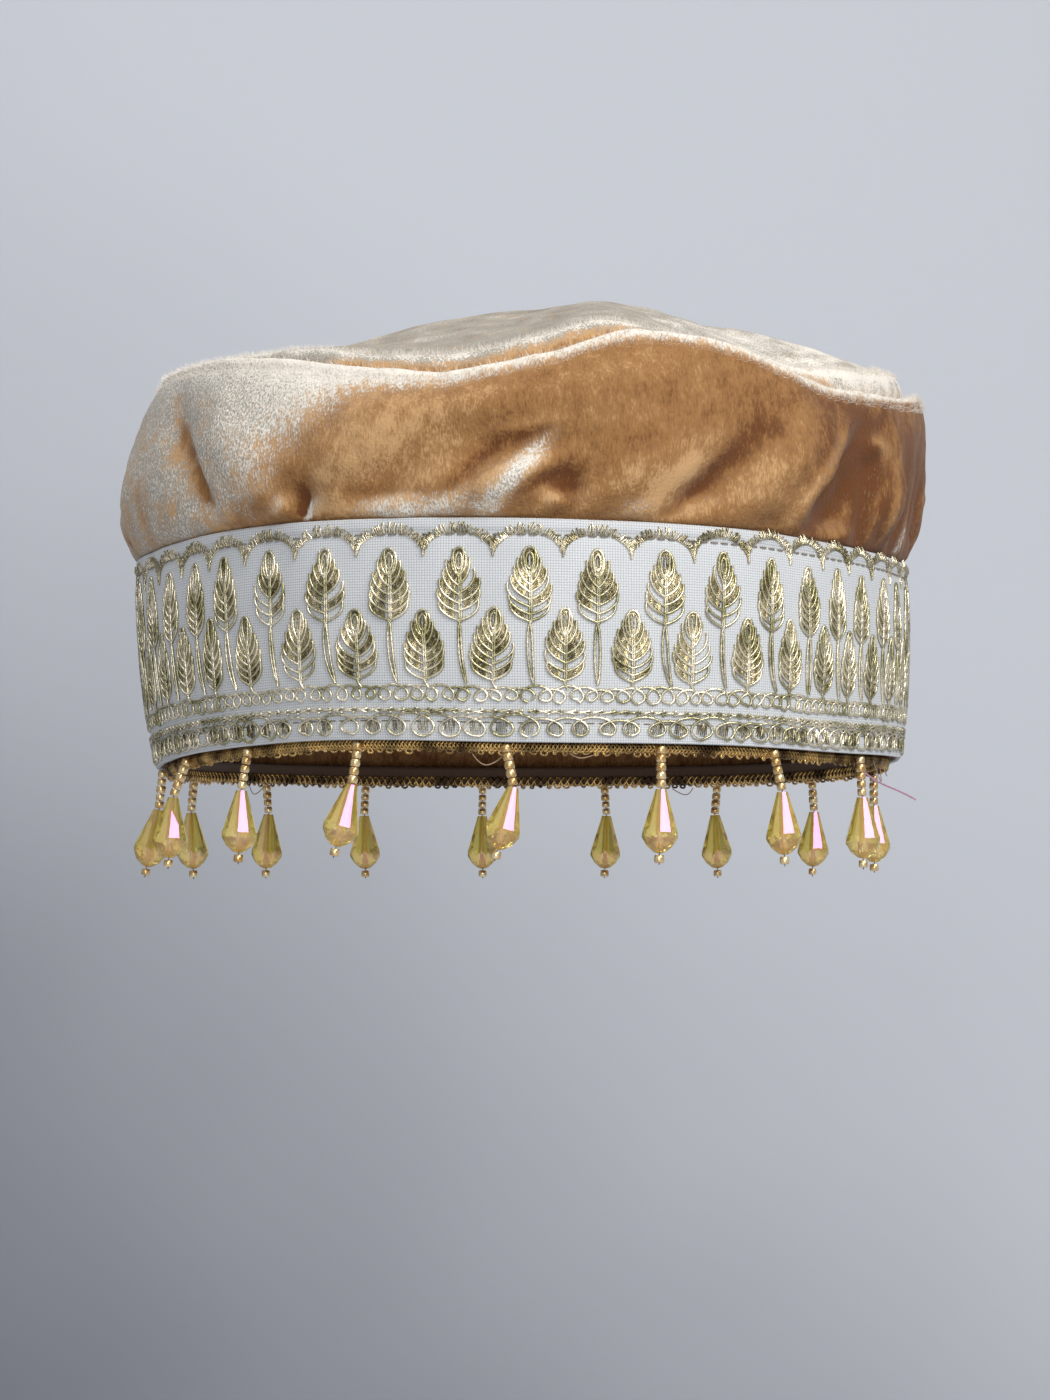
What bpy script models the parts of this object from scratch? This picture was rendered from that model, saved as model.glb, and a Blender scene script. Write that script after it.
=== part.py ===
"""Embroidered velvet cap: a soft pillbox crown on a woven ribbon band, with a gold braid
inside the rim and a ring of faceted drops on short strings of seed beads.

Metres, +Z up. The origin is the centre of the rim, in the plane of the band's lower edge.
The front of the cap faces -Y. A bearing of 0 is the front, and it grows towards +X.
"""

import math
from collections import namedtuple

import bmesh
import bpy
from mathutils import Vector

MM = 0.001

# Sizes of the ribbon band and of the braid inside the rim
RIM_RADIUS = 90.0 * MM
BAND_HEIGHT = 48.0 * MM
BAND_FLARE = 0.178  # how fast the band widens at its lower edge
BAND_CURVE = 2.35  # how that widening dies away with height, per metre
BAND_TILT = 0.035  # how much more the band widens towards -X, and less towards +X
BAND_THICKNESS = 1.0 * MM
VELVET_THICKNESS = 1.6 * MM
VELVET_HEM = 1.0 * MM  # the velvet stops this far above the rim
BRAID_THICKNESS = 1.5 * MM
BRAID_BELOW = 2.4 * MM
BRAID_ABOVE = 3.0 * MM
SEWN_GAP = 0.3 * MM  # clearance between pieces that are sewn together

# The crown, whose top panel is highest right of its middle
CROWN_PEAK = Vector((15.0 * MM, -2.0 * MM, 110.0 * MM))
SHOULDER_DROP = 2.5 * MM  # the side's outer face ends this far under the seam's ridge
RIDGE_INSET = 1.8 * MM
GROOVE_INSET = 4.2 * MM
GROOVE_DROP = 1.2 * MM
ROLL_INSET = 5.8 * MM
CREST_INSET = 8.0 * MM

# One drop: seed beads, a faceted bead and the end bead, all on one thread
SEED_COUNT = 5
SEED_PITCH = 1.86 * MM
SEED_RADIUS = 1.15 * MM
THREAD_RADIUS = 0.3 * MM
BEAD_LENGTH = 14.0 * MM
BEAD_BORE = 0.62 * MM
END_BEAD_LENGTH = 2.0 * MM
BEAD_SIDES = 10

SEGMENTS = 80  # round the cap
BAND_ROWS = (0.0, 0.5, 1.0)  # shares of the band's height
SIDE_ROWS = (0.05, 0.16, 0.32, 0.50, 0.68, 0.86, 1.0)  # shares of the way up to the seam
TOP_RINGS = (0.84, 0.66, 0.46, 0.23)  # shares of the top panel's radius

# The band's edges leave their planes a little where the cloth is pulled
Edge = namedtuple("Edge", "bearing top bottom")
BAND_EDGES = (
    Edge(-84, 0.0 * MM, -1.6 * MM),
    Edge(-68, -0.3 * MM, -0.8 * MM),
    Edge(-50, 1.0 * MM, 0.3 * MM),
    Edge(-30, 1.5 * MM, 1.1 * MM),
    Edge(0, 0.8 * MM, 0.0 * MM),
    Edge(30, 0.0 * MM, 0.0 * MM),
    Edge(50, -1.2 * MM, -0.4 * MM),
    Edge(70, -1.6 * MM, 0.2 * MM),
    Edge(86, -0.6 * MM, 0.7 * MM),
    Edge(130, 0.4 * MM, 0.0 * MM),
    Edge(180, 0.0 * MM, 0.4 * MM),
    Edge(228, 0.6 * MM, -0.3 * MM),
)

# The seam between the side and the top: its height and radius, how far the side bellies out
# over the band, how high the top panel rolls up behind the seam, and how much the top
# panel's shoulder rises over or falls below an even dome
Seam = namedtuple("Seam", "bearing height radius belly roll shoulder")
SEAMS = (
    Seam(-90, 91.0 * MM, 90.0 * MM, 5.8 * MM, 0.8 * MM, -4.0 * MM),
    Seam(-64, 91.0 * MM, 90.5 * MM, 5.8 * MM, 0.4 * MM, -4.5 * MM),
    Seam(-40, 88.0 * MM, 92.0 * MM, 5.6 * MM, 2.2 * MM, -3.0 * MM),
    Seam(-13, 81.8 * MM, 92.5 * MM, 5.2 * MM, 4.5 * MM, -1.5 * MM),
    Seam(2, 85.6 * MM, 93.0 * MM, 5.0 * MM, 4.6 * MM, -1.0 * MM),
    Seam(10, 89.4 * MM, 93.3 * MM, 4.9 * MM, 4.0 * MM, -1.0 * MM),
    Seam(18, 91.2 * MM, 93.5 * MM, 4.8 * MM, 1.2 * MM, -1.0 * MM),
    Seam(29, 89.2 * MM, 94.0 * MM, 4.6 * MM, 1.2 * MM, -2.5 * MM),
    Seam(45, 82.8 * MM, 94.5 * MM, 4.2 * MM, 4.2 * MM, -2.5 * MM),
    Seam(68, 84.4 * MM, 95.0 * MM, 3.6 * MM, 6.4 * MM, -1.0 * MM),
    Seam(92, 90.0 * MM, 95.6 * MM, 3.2 * MM, 4.2 * MM, 0.0 * MM),
    Seam(125, 92.0 * MM, 94.5 * MM, 4.4 * MM, 3.0 * MM, -1.0 * MM),
    Seam(160, 86.5 * MM, 92.5 * MM, 5.4 * MM, 2.0 * MM, 0.0 * MM),
    Seam(195, 88.5 * MM, 92.0 * MM, 5.4 * MM, 1.6 * MM, -1.5 * MM),
    Seam(232, 87.5 * MM, 91.0 * MM, 5.8 * MM, 1.6 * MM, -3.0 * MM),
)

# Folds of the side, as ridges (depth above 0) and valleys (below 0). The slant turns a
# fold's length from upright towards the right as it is seen from outside
Fold = namedtuple("Fold", "name bearing height slant length width depth")
SIDE_FOLDS = (
    Fold("left_bulge", -74, 64 * MM, 0, 16 * MM, 12 * MM, 1.4 * MM),
    Fold("left_valley", -53, 64 * MM, -33, 17 * MM, 5.5 * MM, -3.4 * MM),
    Fold("left_ridge", -42, 64 * MM, -24, 15 * MM, 6.5 * MM, 2.0 * MM),
    Fold("left_pucker", -31, 52 * MM, 12, 6 * MM, 5 * MM, -2.6 * MM),
    Fold("front_swell", -13, 75 * MM, 76, 24 * MM, 8 * MM, 1.4 * MM),
    Fold("front_valley", -19, 57 * MM, 52, 14 * MM, 6 * MM, -3.2 * MM),
    Fold("front_crease", -4, 66 * MM, 78, 14 * MM, 5 * MM, -3.0 * MM),
    Fold("front_ridge", -2, 56.5 * MM, 52, 9 * MM, 5 * MM, 2.4 * MM),
    Fold("button_hollow", 5, 55 * MM, 50, 7 * MM, 4.5 * MM, -2.4 * MM),
    Fold("centre_swell", 13, 74 * MM, 40, 14 * MM, 15 * MM, 1.8 * MM),
    Fold("centre_ridge", 14, 57 * MM, 48, 12 * MM, 5 * MM, 1.4 * MM),
    Fold("centre_valley", 25, 57 * MM, 48, 14 * MM, 5.5 * MM, -3.8 * MM),
    Fold("right_drape", 36, 61 * MM, 40, 16 * MM, 7.5 * MM, 3.2 * MM),
    Fold("right_recess", 50, 57 * MM, 33, 15 * MM, 6 * MM, -5.4 * MM),
    Fold("right_pleat", 62, 59 * MM, 0, 13 * MM, 5 * MM, 1.8 * MM),
    Fold("right_dimple", 76, 63 * MM, 0, 8 * MM, 5 * MM, -3.2 * MM),
    Fold("right_bulge", 93, 63 * MM, 0, 9 * MM, 9 * MM, 1.8 * MM),
    Fold("back_valley_a", 118, 62 * MM, 28, 16 * MM, 7 * MM, -3.6 * MM),
    Fold("back_ridge_a", 134, 66 * MM, 34, 15 * MM, 8 * MM, 2.2 * MM),
    Fold("back_valley_b", 158, 60 * MM, -38, 15 * MM, 6 * MM, -3.4 * MM),
    Fold("back_swell", 180, 72 * MM, 70, 18 * MM, 9 * MM, 1.8 * MM),
    Fold("back_valley_c", 196, 58 * MM, 44, 14 * MM, 6 * MM, -3.4 * MM),
    Fold("back_valley_d", 228, 63 * MM, -20, 17 * MM, 7 * MM, -3.6 * MM),
    Fold("back_ridge_b", 243, 65 * MM, -12, 16 * MM, 8 * MM, 2.0 * MM),
)

# Dents and ridges of the top panel, placed by x and y. The direction is the bearing that
# a fold's length runs along
TopFold = namedtuple("TopFold", "name x y direction length width depth")
TOP_FOLDS = (
    TopFold("right_ridge", 34 * MM, -38 * MM, 30, 30 * MM, 9 * MM, 1.6 * MM),
    TopFold("right_dip", 56 * MM, -30 * MM, 40, 30 * MM, 10 * MM, -3.0 * MM),
    TopFold("front_left_dip", -34 * MM, -56 * MM, 60, 20 * MM, 9 * MM, -1.6 * MM),
    TopFold("left_pinch", -56 * MM, -46 * MM, -30, 9 * MM, 6 * MM, -2.2 * MM),
    TopFold("right_tuck", 66 * MM, -34 * MM, 100, 8 * MM, 5 * MM, -1.6 * MM),
    TopFold("back_dip", 36 * MM, 50 * MM, 150, 22 * MM, 10 * MM, -2.4 * MM),
    TopFold("back_ridge", -34 * MM, 44 * MM, 215, 24 * MM, 10 * MM, 1.8 * MM),
)

# The cut of the faceted bead, from its top: half a step of turn staggers the facets
Facet = namedtuple("Facet", "along radius turn")
BEAD_FACETS = (
    Facet(0.0, BEAD_BORE, 0.0),
    Facet(0.0, 1.25 * MM, 0.0),
    Facet(9.6 * MM, 4.05 * MM, 0.0),
    Facet(12.4 * MM, 3.0 * MM, 0.5),
    Facet(BEAD_LENGTH, BEAD_BORE, 0.5),
)

# The drops that the front shows, and how far their strings and beads lean towards +X, in
# degrees. They hang about 21 degrees apart, and one is missing at a bearing of 82
Drop = namedtuple("Drop", "bearing string bead")
FRONT_DROPS = (
    Drop(-86.0, -5.4, -11.5),
    Drop(-63.5, -20.0, -4.0),
    Drop(-45.7, -9.0, -2.3),
    Drop(-25.1, -8.4, -14.0),
    Drop(-3.2, 10.6, -14.0),
    Drop(19.3, 0.0, -1.7),
    Drop(38.4, 12.0, 1.7),
    Drop(60.2, 2.8, 0.5),
)
BACK_START = 103.0
BACK_STEP = 21.2
BACK_COUNT = 8
BACK_LEAN = 5.0  # the greatest lean of the drops at the back


def clear_scene():
    for obj in list(bpy.data.objects):
        bpy.data.objects.remove(obj)


def make_material(name, colour, roughness, metallic=0.0):
    """A plain Principled surface."""
    material = bpy.data.materials.new(name)
    material.use_nodes = True
    shader = material.node_tree.nodes["Principled BSDF"]
    shader.inputs["Base Color"].default_value = (*colour, 1.0)
    shader.inputs["Roughness"].default_value = roughness
    shader.inputs["Metallic"].default_value = metallic
    return material


def smoothstep(low, high, value):
    share = min(1.0, max(0.0, (value - low) / (high - low)))
    return share * share * (3.0 - 2.0 * share)


def around(rows, column, bearing):
    """A table's column at a bearing, on a smooth closed curve through its rows."""
    count = len(rows)
    for index, row in enumerate(rows):
        after = rows[(index + 1) % count]
        span = (after.bearing - row.bearing) % 360
        step = (bearing - row.bearing) % 360
        if step <= span:
            break
    before = rows[index - 1]
    beyond = rows[(index + 2) % count]
    back = (row.bearing - before.bearing) % 360
    ahead = (beyond.bearing - after.bearing) % 360
    start, end = getattr(row, column), getattr(after, column)
    slope_in = (end - getattr(before, column)) / (span + back) * span
    slope_out = (getattr(beyond, column) - start) / (ahead + span) * span
    t = step / span
    return (
        start * (2 * t**3 - 3 * t**2 + 1)
        + slope_in * (t**3 - 2 * t**2 + t)
        + end * (3 * t**2 - 2 * t**3)
        + slope_out * (t**3 - t**2)
    )


def place(bearing, radius, height):
    """The point at a bearing, a radius and a height."""
    angle = math.radians(bearing)
    return Vector((radius * math.sin(angle), -radius * math.cos(angle), height))


def band_radius(bearing, height):
    """The band's outer radius at a bearing and a height over the rim."""
    flare = BAND_FLARE - BAND_TILT * math.sin(math.radians(bearing))
    return RIM_RADIUS + flare * height - BAND_CURVE * height**2


def band_height(bearing, share):
    """The height of a point on the band, from 0 at its lower edge to 1 at its upper edge."""
    bottom = around(BAND_EDGES, "bottom", bearing)
    top = BAND_HEIGHT + around(BAND_EDGES, "top", bearing)
    return bottom + (top - bottom) * share


def fold_offset(bearing, height):
    """How far the folds move the side outwards."""
    total = 0.0
    for fold in SIDE_FOLDS:
        turn = (bearing - fold.bearing + 180) % 360 - 180
        sideways = math.radians(turn) * RIM_RADIUS
        upwards = height - fold.height
        slant = math.radians(fold.slant)
        along = upwards * math.cos(slant) + sideways * math.sin(slant)
        across = sideways * math.cos(slant) - upwards * math.sin(slant)
        total += fold.depth * math.exp(-((along / fold.length) ** 2) - (across / fold.width) ** 2)
    return total


def side_point(bearing, share):
    """The outer face of the crown's side, from 0 at the band's upper edge to 1 at the seam's shoulder."""
    low = band_height(bearing, 1.0)
    high = around(SEAMS, "height", bearing) - SHOULDER_DROP
    height = low + (high - low) * share
    start = band_radius(bearing, low) - BAND_THICKNESS - SEWN_GAP
    end = around(SEAMS, "radius", bearing)
    bulge = math.sin(math.pi * share**0.75) ** 0.75 if 0.0 < share < 1.0 else 0.0
    radius = start + (end - start) * smoothstep(0.0, 1.0, share)
    radius += around(SEAMS, "belly", bearing) * bulge
    fade = smoothstep(0.0, 0.2, share) * (1.0 - smoothstep(0.8, 1.0, share))
    return radius + fold_offset(bearing, height) * fade, height


def seam_point(bearing, inset, lift):
    radius = around(SEAMS, "radius", bearing) - inset
    return place(bearing, radius, around(SEAMS, "height", bearing) + lift)


def top_point(bearing, share):
    """The outer face of the top panel, from 0 at its peak to 1 at its crest beside the seam."""
    crest = seam_point(bearing, CREST_INSET, around(SEAMS, "roll", bearing))
    point = CROWN_PEAK.lerp(crest, share)
    point.z = CROWN_PEAK.z + (crest.z - CROWN_PEAK.z) * share**2
    point.z += around(SEAMS, "shoulder", bearing) * 4.0 * share**2 * (1.0 - share**2)
    for fold in TOP_FOLDS:
        direction = math.radians(fold.direction)
        out_x, out_y = math.sin(direction), -math.cos(direction)
        along = (point.x - fold.x) * out_x + (point.y - fold.y) * out_y
        across = (point.y - fold.y) * out_x - (point.x - fold.x) * out_y
        shape = math.exp(-((along / fold.length) ** 2) - (across / fold.width) ** 2)
        point.z += fold.depth * shape * (1.0 - smoothstep(0.86, 1.0, share))
    return point


def mesh_object(name, points, faces, material):
    mesh = bpy.data.meshes.new(name)
    mesh.from_pydata([tuple(p) for p in points], [], faces)
    mesh.materials.append(material)
    mesh.shade_smooth()
    obj = bpy.data.objects.new(name, mesh)
    bpy.context.scene.collection.objects.link(obj)
    return obj


def thicken(obj, thickness):
    """Gives a sheet its thickness, inwards from the face that shows."""
    modifier = obj.modifiers.new("wall", "SOLIDIFY")
    modifier.thickness = thickness
    modifier.offset = -1.0
    modifier.use_rim = True
    modifier.use_quality_normals = True


def cloth_rings(name, rings, thickness, material, centre=None):
    """A cloth wall whose outer face runs through rings of points, and on to a centre if it has one."""
    points = [point for ring in rings for point in ring]
    faces = []
    for row in range(len(rings) - 1):
        for segment in range(SEGMENTS):
            beside = (segment + 1) % SEGMENTS
            faces.append(
                (
                    row * SEGMENTS + segment,
                    row * SEGMENTS + beside,
                    (row + 1) * SEGMENTS + beside,
                    (row + 1) * SEGMENTS + segment,
                )
            )
    if centre is not None:
        last = (len(rings) - 1) * SEGMENTS
        points.append(centre)
        for segment in range(SEGMENTS):
            beside = (segment + 1) % SEGMENTS
            faces.append((last + segment, last + beside, len(points) - 1))
    obj = mesh_object(name, points, faces, material)
    thicken(obj, thickness)
    return obj


def bearings():
    return [360.0 * segment / SEGMENTS for segment in range(SEGMENTS)]


def make_side(material):
    """The velvet side: up behind the band, out over its upper edge and in to the seam."""
    inside = BAND_THICKNESS + SEWN_GAP
    rings = []
    for share in BAND_ROWS:
        ring = []
        for bearing in bearings():
            height = band_height(bearing, share)
            if share == BAND_ROWS[0]:
                height += VELVET_HEM
            ring.append(place(bearing, band_radius(bearing, height) - inside, height))
        rings.append(ring)
    for share in SIDE_ROWS:
        rings.append([place(b, *side_point(b, share)) for b in bearings()])
    for inset, drop in ((RIDGE_INSET, 0.0), (GROOVE_INSET, GROOVE_DROP)):
        rings.append([seam_point(b, inset, -drop) for b in bearings()])
    return cloth_rings("crown_side", rings, VELVET_THICKNESS, material)


def make_top(material):
    """The velvet top panel: it rolls up behind the seam and domes over the head."""
    rings = [[seam_point(b, GROOVE_INSET + SEWN_GAP, -GROOVE_DROP) for b in bearings()]]
    half_up = [0.45 * around(SEAMS, "roll", b) for b in bearings()]
    rings.append([seam_point(b, ROLL_INSET, lift) for b, lift in zip(bearings(), half_up)])
    for share in (1.0, *TOP_RINGS):
        rings.append([top_point(b, share) for b in bearings()])
    return cloth_rings("crown_top", rings, VELVET_THICKNESS, material, CROWN_PEAK)


def make_band(material):
    """The woven ribbon round the crown."""
    rings = []
    for share in BAND_ROWS:
        heights = [(b, band_height(b, share)) for b in bearings()]
        rings.append([place(b, band_radius(b, height), height) for b, height in heights])
    return cloth_rings("band", rings, BAND_THICKNESS, material)


def braid_radius():
    """The braid's outer radius, inside the velvet's hem."""
    return RIM_RADIUS - BAND_THICKNESS - VELVET_THICKNESS - 2 * SEWN_GAP


def make_braid(material):
    """The gold braid, sewn inside the rim so that its lower edge shows."""
    rings = []
    for lift in (-BRAID_BELOW, 0.0, BRAID_ABOVE):
        rings.append([place(b, braid_radius(), band_height(b, 0.0) + lift) for b in bearings()])
    return cloth_rings("braid", rings, BRAID_THICKNESS, material)


def ring_points(centre, axis, radius, turn):
    """Points of a ring round an axis, with turn as a share of the step between two points."""
    sideways = axis.cross(Vector((0.0, 1.0, 0.0))).normalized()
    towards = axis.cross(sideways).normalized()
    points = []
    for side in range(BEAD_SIDES):
        angle = 2 * math.pi * (side + turn) / BEAD_SIDES
        points.append(centre + radius * (math.cos(angle) * sideways + math.sin(angle) * towards))
    return points


def turned_solid(name, rings, material, bored):
    """A solid through rings of points. A bored one closes on itself, another gets end caps."""
    work = bmesh.new()
    loops = [[work.verts.new(point) for point in ring] for ring in rings]
    pairs = list(zip(loops, loops[1:]))
    if bored:
        pairs.append((loops[-1], loops[0]))
    for upper, lower in pairs:
        for side in range(BEAD_SIDES):
            beside = (side + 1) % BEAD_SIDES
            work.faces.new((upper[side], upper[beside], lower[side]))
            work.faces.new((upper[beside], lower[beside], lower[side]))
    if not bored:
        work.faces.new(loops[0])
        work.faces.new(list(reversed(loops[-1])))
    bmesh.ops.recalc_face_normals(work, faces=work.faces)
    mesh = bpy.data.meshes.new(name)
    work.to_mesh(mesh)
    work.free()
    mesh.materials.append(material)
    obj = bpy.data.objects.new(name, mesh)
    bpy.context.scene.collection.objects.link(obj)
    return obj


def hanging(lean):
    """The direction down a thread that leans towards +X."""
    angle = math.radians(lean)
    return Vector((math.sin(angle), 0.0, -math.cos(angle)))


def all_drops():
    """The front's drops, then those at the back in equal steps."""
    drops = list(FRONT_DROPS)
    for step in range(BACK_COUNT):
        sway = BACK_LEAN * math.sin(2.4 * step)
        drops.append(Drop(BACK_START + step * BACK_STEP, sway, -0.5 * sway))
    return drops


def make_drop(number, drop, glass, gold):
    """One drop: the string of seed beads with its thread and end bead, and the bored faceted bead."""
    radius = braid_radius() + SEWN_GAP + 1.05 * SEED_RADIUS
    string_axis, bead_axis = hanging(drop.string), hanging(drop.bead)
    top = place(drop.bearing, radius, band_height(drop.bearing, 0.0) - SEWN_GAP)
    bend = top + string_axis * (SEED_COUNT * SEED_PITCH)
    bead_top = bend + bead_axis * SEWN_GAP
    end_top = bead_top + bead_axis * (BEAD_LENGTH + SEWN_GAP)
    string_rings = [
        ring_points(top, string_axis, SEED_RADIUS, 0.0),
        ring_points(bend, bead_axis, SEED_RADIUS, 0.0),
        ring_points(bend, bead_axis, THREAD_RADIUS, 0.0),
        ring_points(end_top, bead_axis, THREAD_RADIUS, 0.0),
    ]
    for share, width in ((0.0, 0.75), (0.5, 1.0), (1.0, 0.75)):
        centre = end_top + bead_axis * END_BEAD_LENGTH * share
        string_rings.append(ring_points(centre, bead_axis, SEED_RADIUS * width, 0.0))
    turned_solid(f"string_{number:02d}", string_rings, gold, bored=False)
    bead_rings = [
        ring_points(bead_top + bead_axis * facet.along, bead_axis, facet.radius, facet.turn)
        for facet in BEAD_FACETS
    ]
    turned_solid(f"bead_{number:02d}", bead_rings, glass, bored=True)


def main():
    clear_scene()
    velvet = make_material("velvet", (0.50, 0.30, 0.13), 0.75)
    ribbon = make_material("ribbon", (0.78, 0.80, 0.82), 0.6)
    braid = make_material("gold_braid", (0.56, 0.40, 0.16), 0.35, 1.0)
    glass = make_material("drop_glass", (0.86, 0.66, 0.18), 0.08)
    gold = make_material("gold_seed", (0.78, 0.58, 0.25), 0.2, 1.0)
    make_side(velvet)
    make_top(velvet)
    make_band(ribbon)
    make_braid(braid)
    for number, drop in enumerate(all_drops(), start=1):
        make_drop(number, drop, glass, gold)


main()
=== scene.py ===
"""The looks of an embroidered velvet cap: pile, woven ribbon, gold thread work, braid and drops.

Metres, +Z up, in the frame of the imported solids. The front of the cap faces -Y. A bearing of 0
is the front, and it grows towards +X. The embroidery is drawn flat, in millimetres.
"""

import math
import random
from collections import namedtuple

import bmesh
import bpy
import numpy as np
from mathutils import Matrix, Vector, noise


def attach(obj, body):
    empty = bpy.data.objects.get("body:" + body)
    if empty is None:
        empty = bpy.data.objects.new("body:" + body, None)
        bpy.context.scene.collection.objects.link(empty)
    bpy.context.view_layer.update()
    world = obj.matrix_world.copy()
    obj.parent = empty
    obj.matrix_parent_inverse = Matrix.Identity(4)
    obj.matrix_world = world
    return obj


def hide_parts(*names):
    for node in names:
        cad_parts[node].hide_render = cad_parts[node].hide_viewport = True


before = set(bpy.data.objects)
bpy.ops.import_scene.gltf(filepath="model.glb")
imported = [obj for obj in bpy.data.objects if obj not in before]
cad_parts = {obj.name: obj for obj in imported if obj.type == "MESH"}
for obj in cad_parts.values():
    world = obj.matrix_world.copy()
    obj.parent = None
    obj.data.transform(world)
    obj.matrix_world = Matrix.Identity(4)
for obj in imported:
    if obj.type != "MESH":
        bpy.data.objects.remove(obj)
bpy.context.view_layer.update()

MM = 0.001


def in_metres(kind, lengths, rows):
    """A table's rows, where the columns named as lengths are written in millimetres."""
    table = []
    for row in rows:
        entry = kind(*row)
        table.append(entry._replace(**{name: getattr(entry, name) * MM for name in lengths.split()}))
    return table


# Sizes that the solids share
RIM_RADIUS = 90.0 * MM
BAND_HEIGHT = 48.0 * MM
BAND_FLARE = 0.178
BAND_CURVE = 2.35
BAND_TILT = 0.035
BAND_THICKNESS = 1.0 * MM
VELVET_THICKNESS = 1.6 * MM
VELVET_HEM = 1.0 * MM
BRAID_THICKNESS = 1.5 * MM
BRAID_BELOW = 2.4 * MM
BRAID_ABOVE = 3.0 * MM
SEWN_GAP = 0.3 * MM
CROWN_PEAK = Vector((15.0 * MM, -2.0 * MM, 110.0 * MM))
SHOULDER_DROP = 2.5 * MM
RIDGE_INSET = 1.8 * MM
GROOVE_INSET = 4.2 * MM
GROOVE_DROP = 1.2 * MM
CREST_INSET = 8.0 * MM
SEED_COUNT = 5
SEED_PITCH = 1.86 * MM
SEED_RADIUS = 1.15 * MM
BEAD_LENGTH = 14.0 * MM
BEAD_BORE = 0.62 * MM
END_BEAD_LENGTH = 2.0 * MM

Edge = namedtuple("Edge", "bearing top bottom")
BAND_EDGES = in_metres(Edge, "top bottom", (
    (-84, 0.0, -1.6),
    (-68, -0.3, -0.8),
    (-50, 1.0, 0.3),
    (-30, 1.5, 1.1),
    (0, 0.8, 0.0),
    (30, 0.0, 0.0),
    (50, -1.2, -0.4),
    (70, -1.6, 0.2),
    (86, -0.6, 0.7),
    (130, 0.4, 0.0),
    (180, 0.0, 0.4),
    (228, 0.6, -0.3),
))

Seam = namedtuple("Seam", "bearing height radius belly roll shoulder")
SEAMS = in_metres(Seam, "height radius belly roll shoulder", (
    (-90, 91.0, 90.0, 5.8, 0.8, -4.0),
    (-64, 91.0, 90.5, 5.8, 0.4, -4.5),
    (-40, 88.0, 92.0, 5.6, 2.2, -3.0),
    (-13, 81.8, 92.5, 5.2, 4.5, -1.5),
    (2, 85.6, 93.0, 5.0, 4.6, -1.0),
    (10, 89.4, 93.3, 4.9, 4.0, -1.0),
    (18, 91.2, 93.5, 4.8, 1.2, -1.0),
    (29, 89.2, 94.0, 4.6, 1.2, -2.5),
    (45, 82.8, 94.5, 4.2, 4.2, -2.5),
    (68, 84.4, 95.0, 3.6, 6.4, -1.0),
    (92, 90.0, 95.6, 3.2, 4.2, 0.0),
    (125, 92.0, 94.5, 4.4, 3.0, -1.0),
    (160, 86.5, 92.5, 5.4, 2.0, 0.0),
    (195, 88.5, 92.0, 5.4, 1.6, -1.5),
    (232, 87.5, 91.0, 5.8, 1.6, -3.0),
))

Fold = namedtuple("Fold", "name bearing height slant length width depth")
SIDE_FOLDS = in_metres(Fold, "height length width depth", (
    ("left_bulge", -74, 64, 0, 16, 12, 1.4),
    ("left_valley", -53, 64, -33, 17, 5.5, -3.4),
    ("left_ridge", -42, 64, -24, 15, 6.5, 2.0),
    ("left_pucker", -31, 52, 12, 6, 5, -2.6),
    ("front_swell", -13, 75, 76, 24, 8, 1.4),
    ("front_valley", -19, 57, 52, 14, 6, -3.2),
    ("front_crease", -4, 66, 78, 14, 5, -3.0),
    ("front_ridge", -2, 56.5, 52, 9, 5, 2.4),
    ("button_hollow", 5, 55, 50, 7, 4.5, -2.4),
    ("centre_swell", 13, 74, 40, 14, 15, 1.8),
    ("centre_ridge", 14, 57, 48, 12, 5, 1.4),
    ("centre_valley", 25, 57, 48, 14, 5.5, -3.8),
    ("right_drape", 36, 61, 40, 16, 7.5, 3.2),
    ("right_recess", 50, 57, 33, 15, 6, -5.4),
    ("right_pleat", 62, 59, 0, 13, 5, 1.8),
    ("right_dimple", 76, 63, 0, 8, 5, -3.2),
    ("right_bulge", 93, 63, 0, 9, 9, 1.8),
    ("back_valley_a", 118, 62, 28, 16, 7, -3.6),
    ("back_ridge_a", 134, 66, 34, 15, 8, 2.2),
    ("back_valley_b", 158, 60, -38, 15, 6, -3.4),
    ("back_swell", 180, 72, 70, 18, 9, 1.8),
    ("back_valley_c", 196, 58, 44, 14, 6, -3.4),
    ("back_valley_d", 228, 63, -20, 17, 7, -3.6),
    ("back_ridge_b", 243, 65, -12, 16, 8, 2.0),
))

# Creases and puckers too small for the solids
FINE_FOLDS = in_metres(Fold, "height length width depth", (
    ("left_crease", -56, 54, -5, 6, 1.8, -0.9),
    ("left_button", -34, 52, 20, 3.5, 2.4, 1.6),
    ("left_button_crease", -31.6, 52, 14, 5, 1.3, -1.4),
    ("front_line", -1, 66.5, 80, 7, 1.6, -1.0),
    ("button", 3.8, 52.5, 0, 2.4, 2.2, 2.4),
    ("button_crease", 1.4, 56, 60, 4.5, 1.5, -1.3),
    ("right_edge", 44.5, 58, 40, 11, 1.8, -1.2),
    ("right_knob", 56, 70, 0, 2.6, 2.8, 2.8),
    ("pleat_a", 55, 57, 4, 10, 1.8, -1.2),
    ("pleat_b", 60.5, 57, -2, 10, 1.8, 1.2),
    ("pleat_c", 66.5, 57, -4, 9, 1.8, -1.3),
    ("back_line_a", 150, 55, 20, 6, 1.6, -1.0),
    ("back_button", 205, 52.5, 0, 2.4, 2.2, 2.0),
    ("back_line_b", 240, 56, -20, 7, 1.6, -1.0),
))

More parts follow.
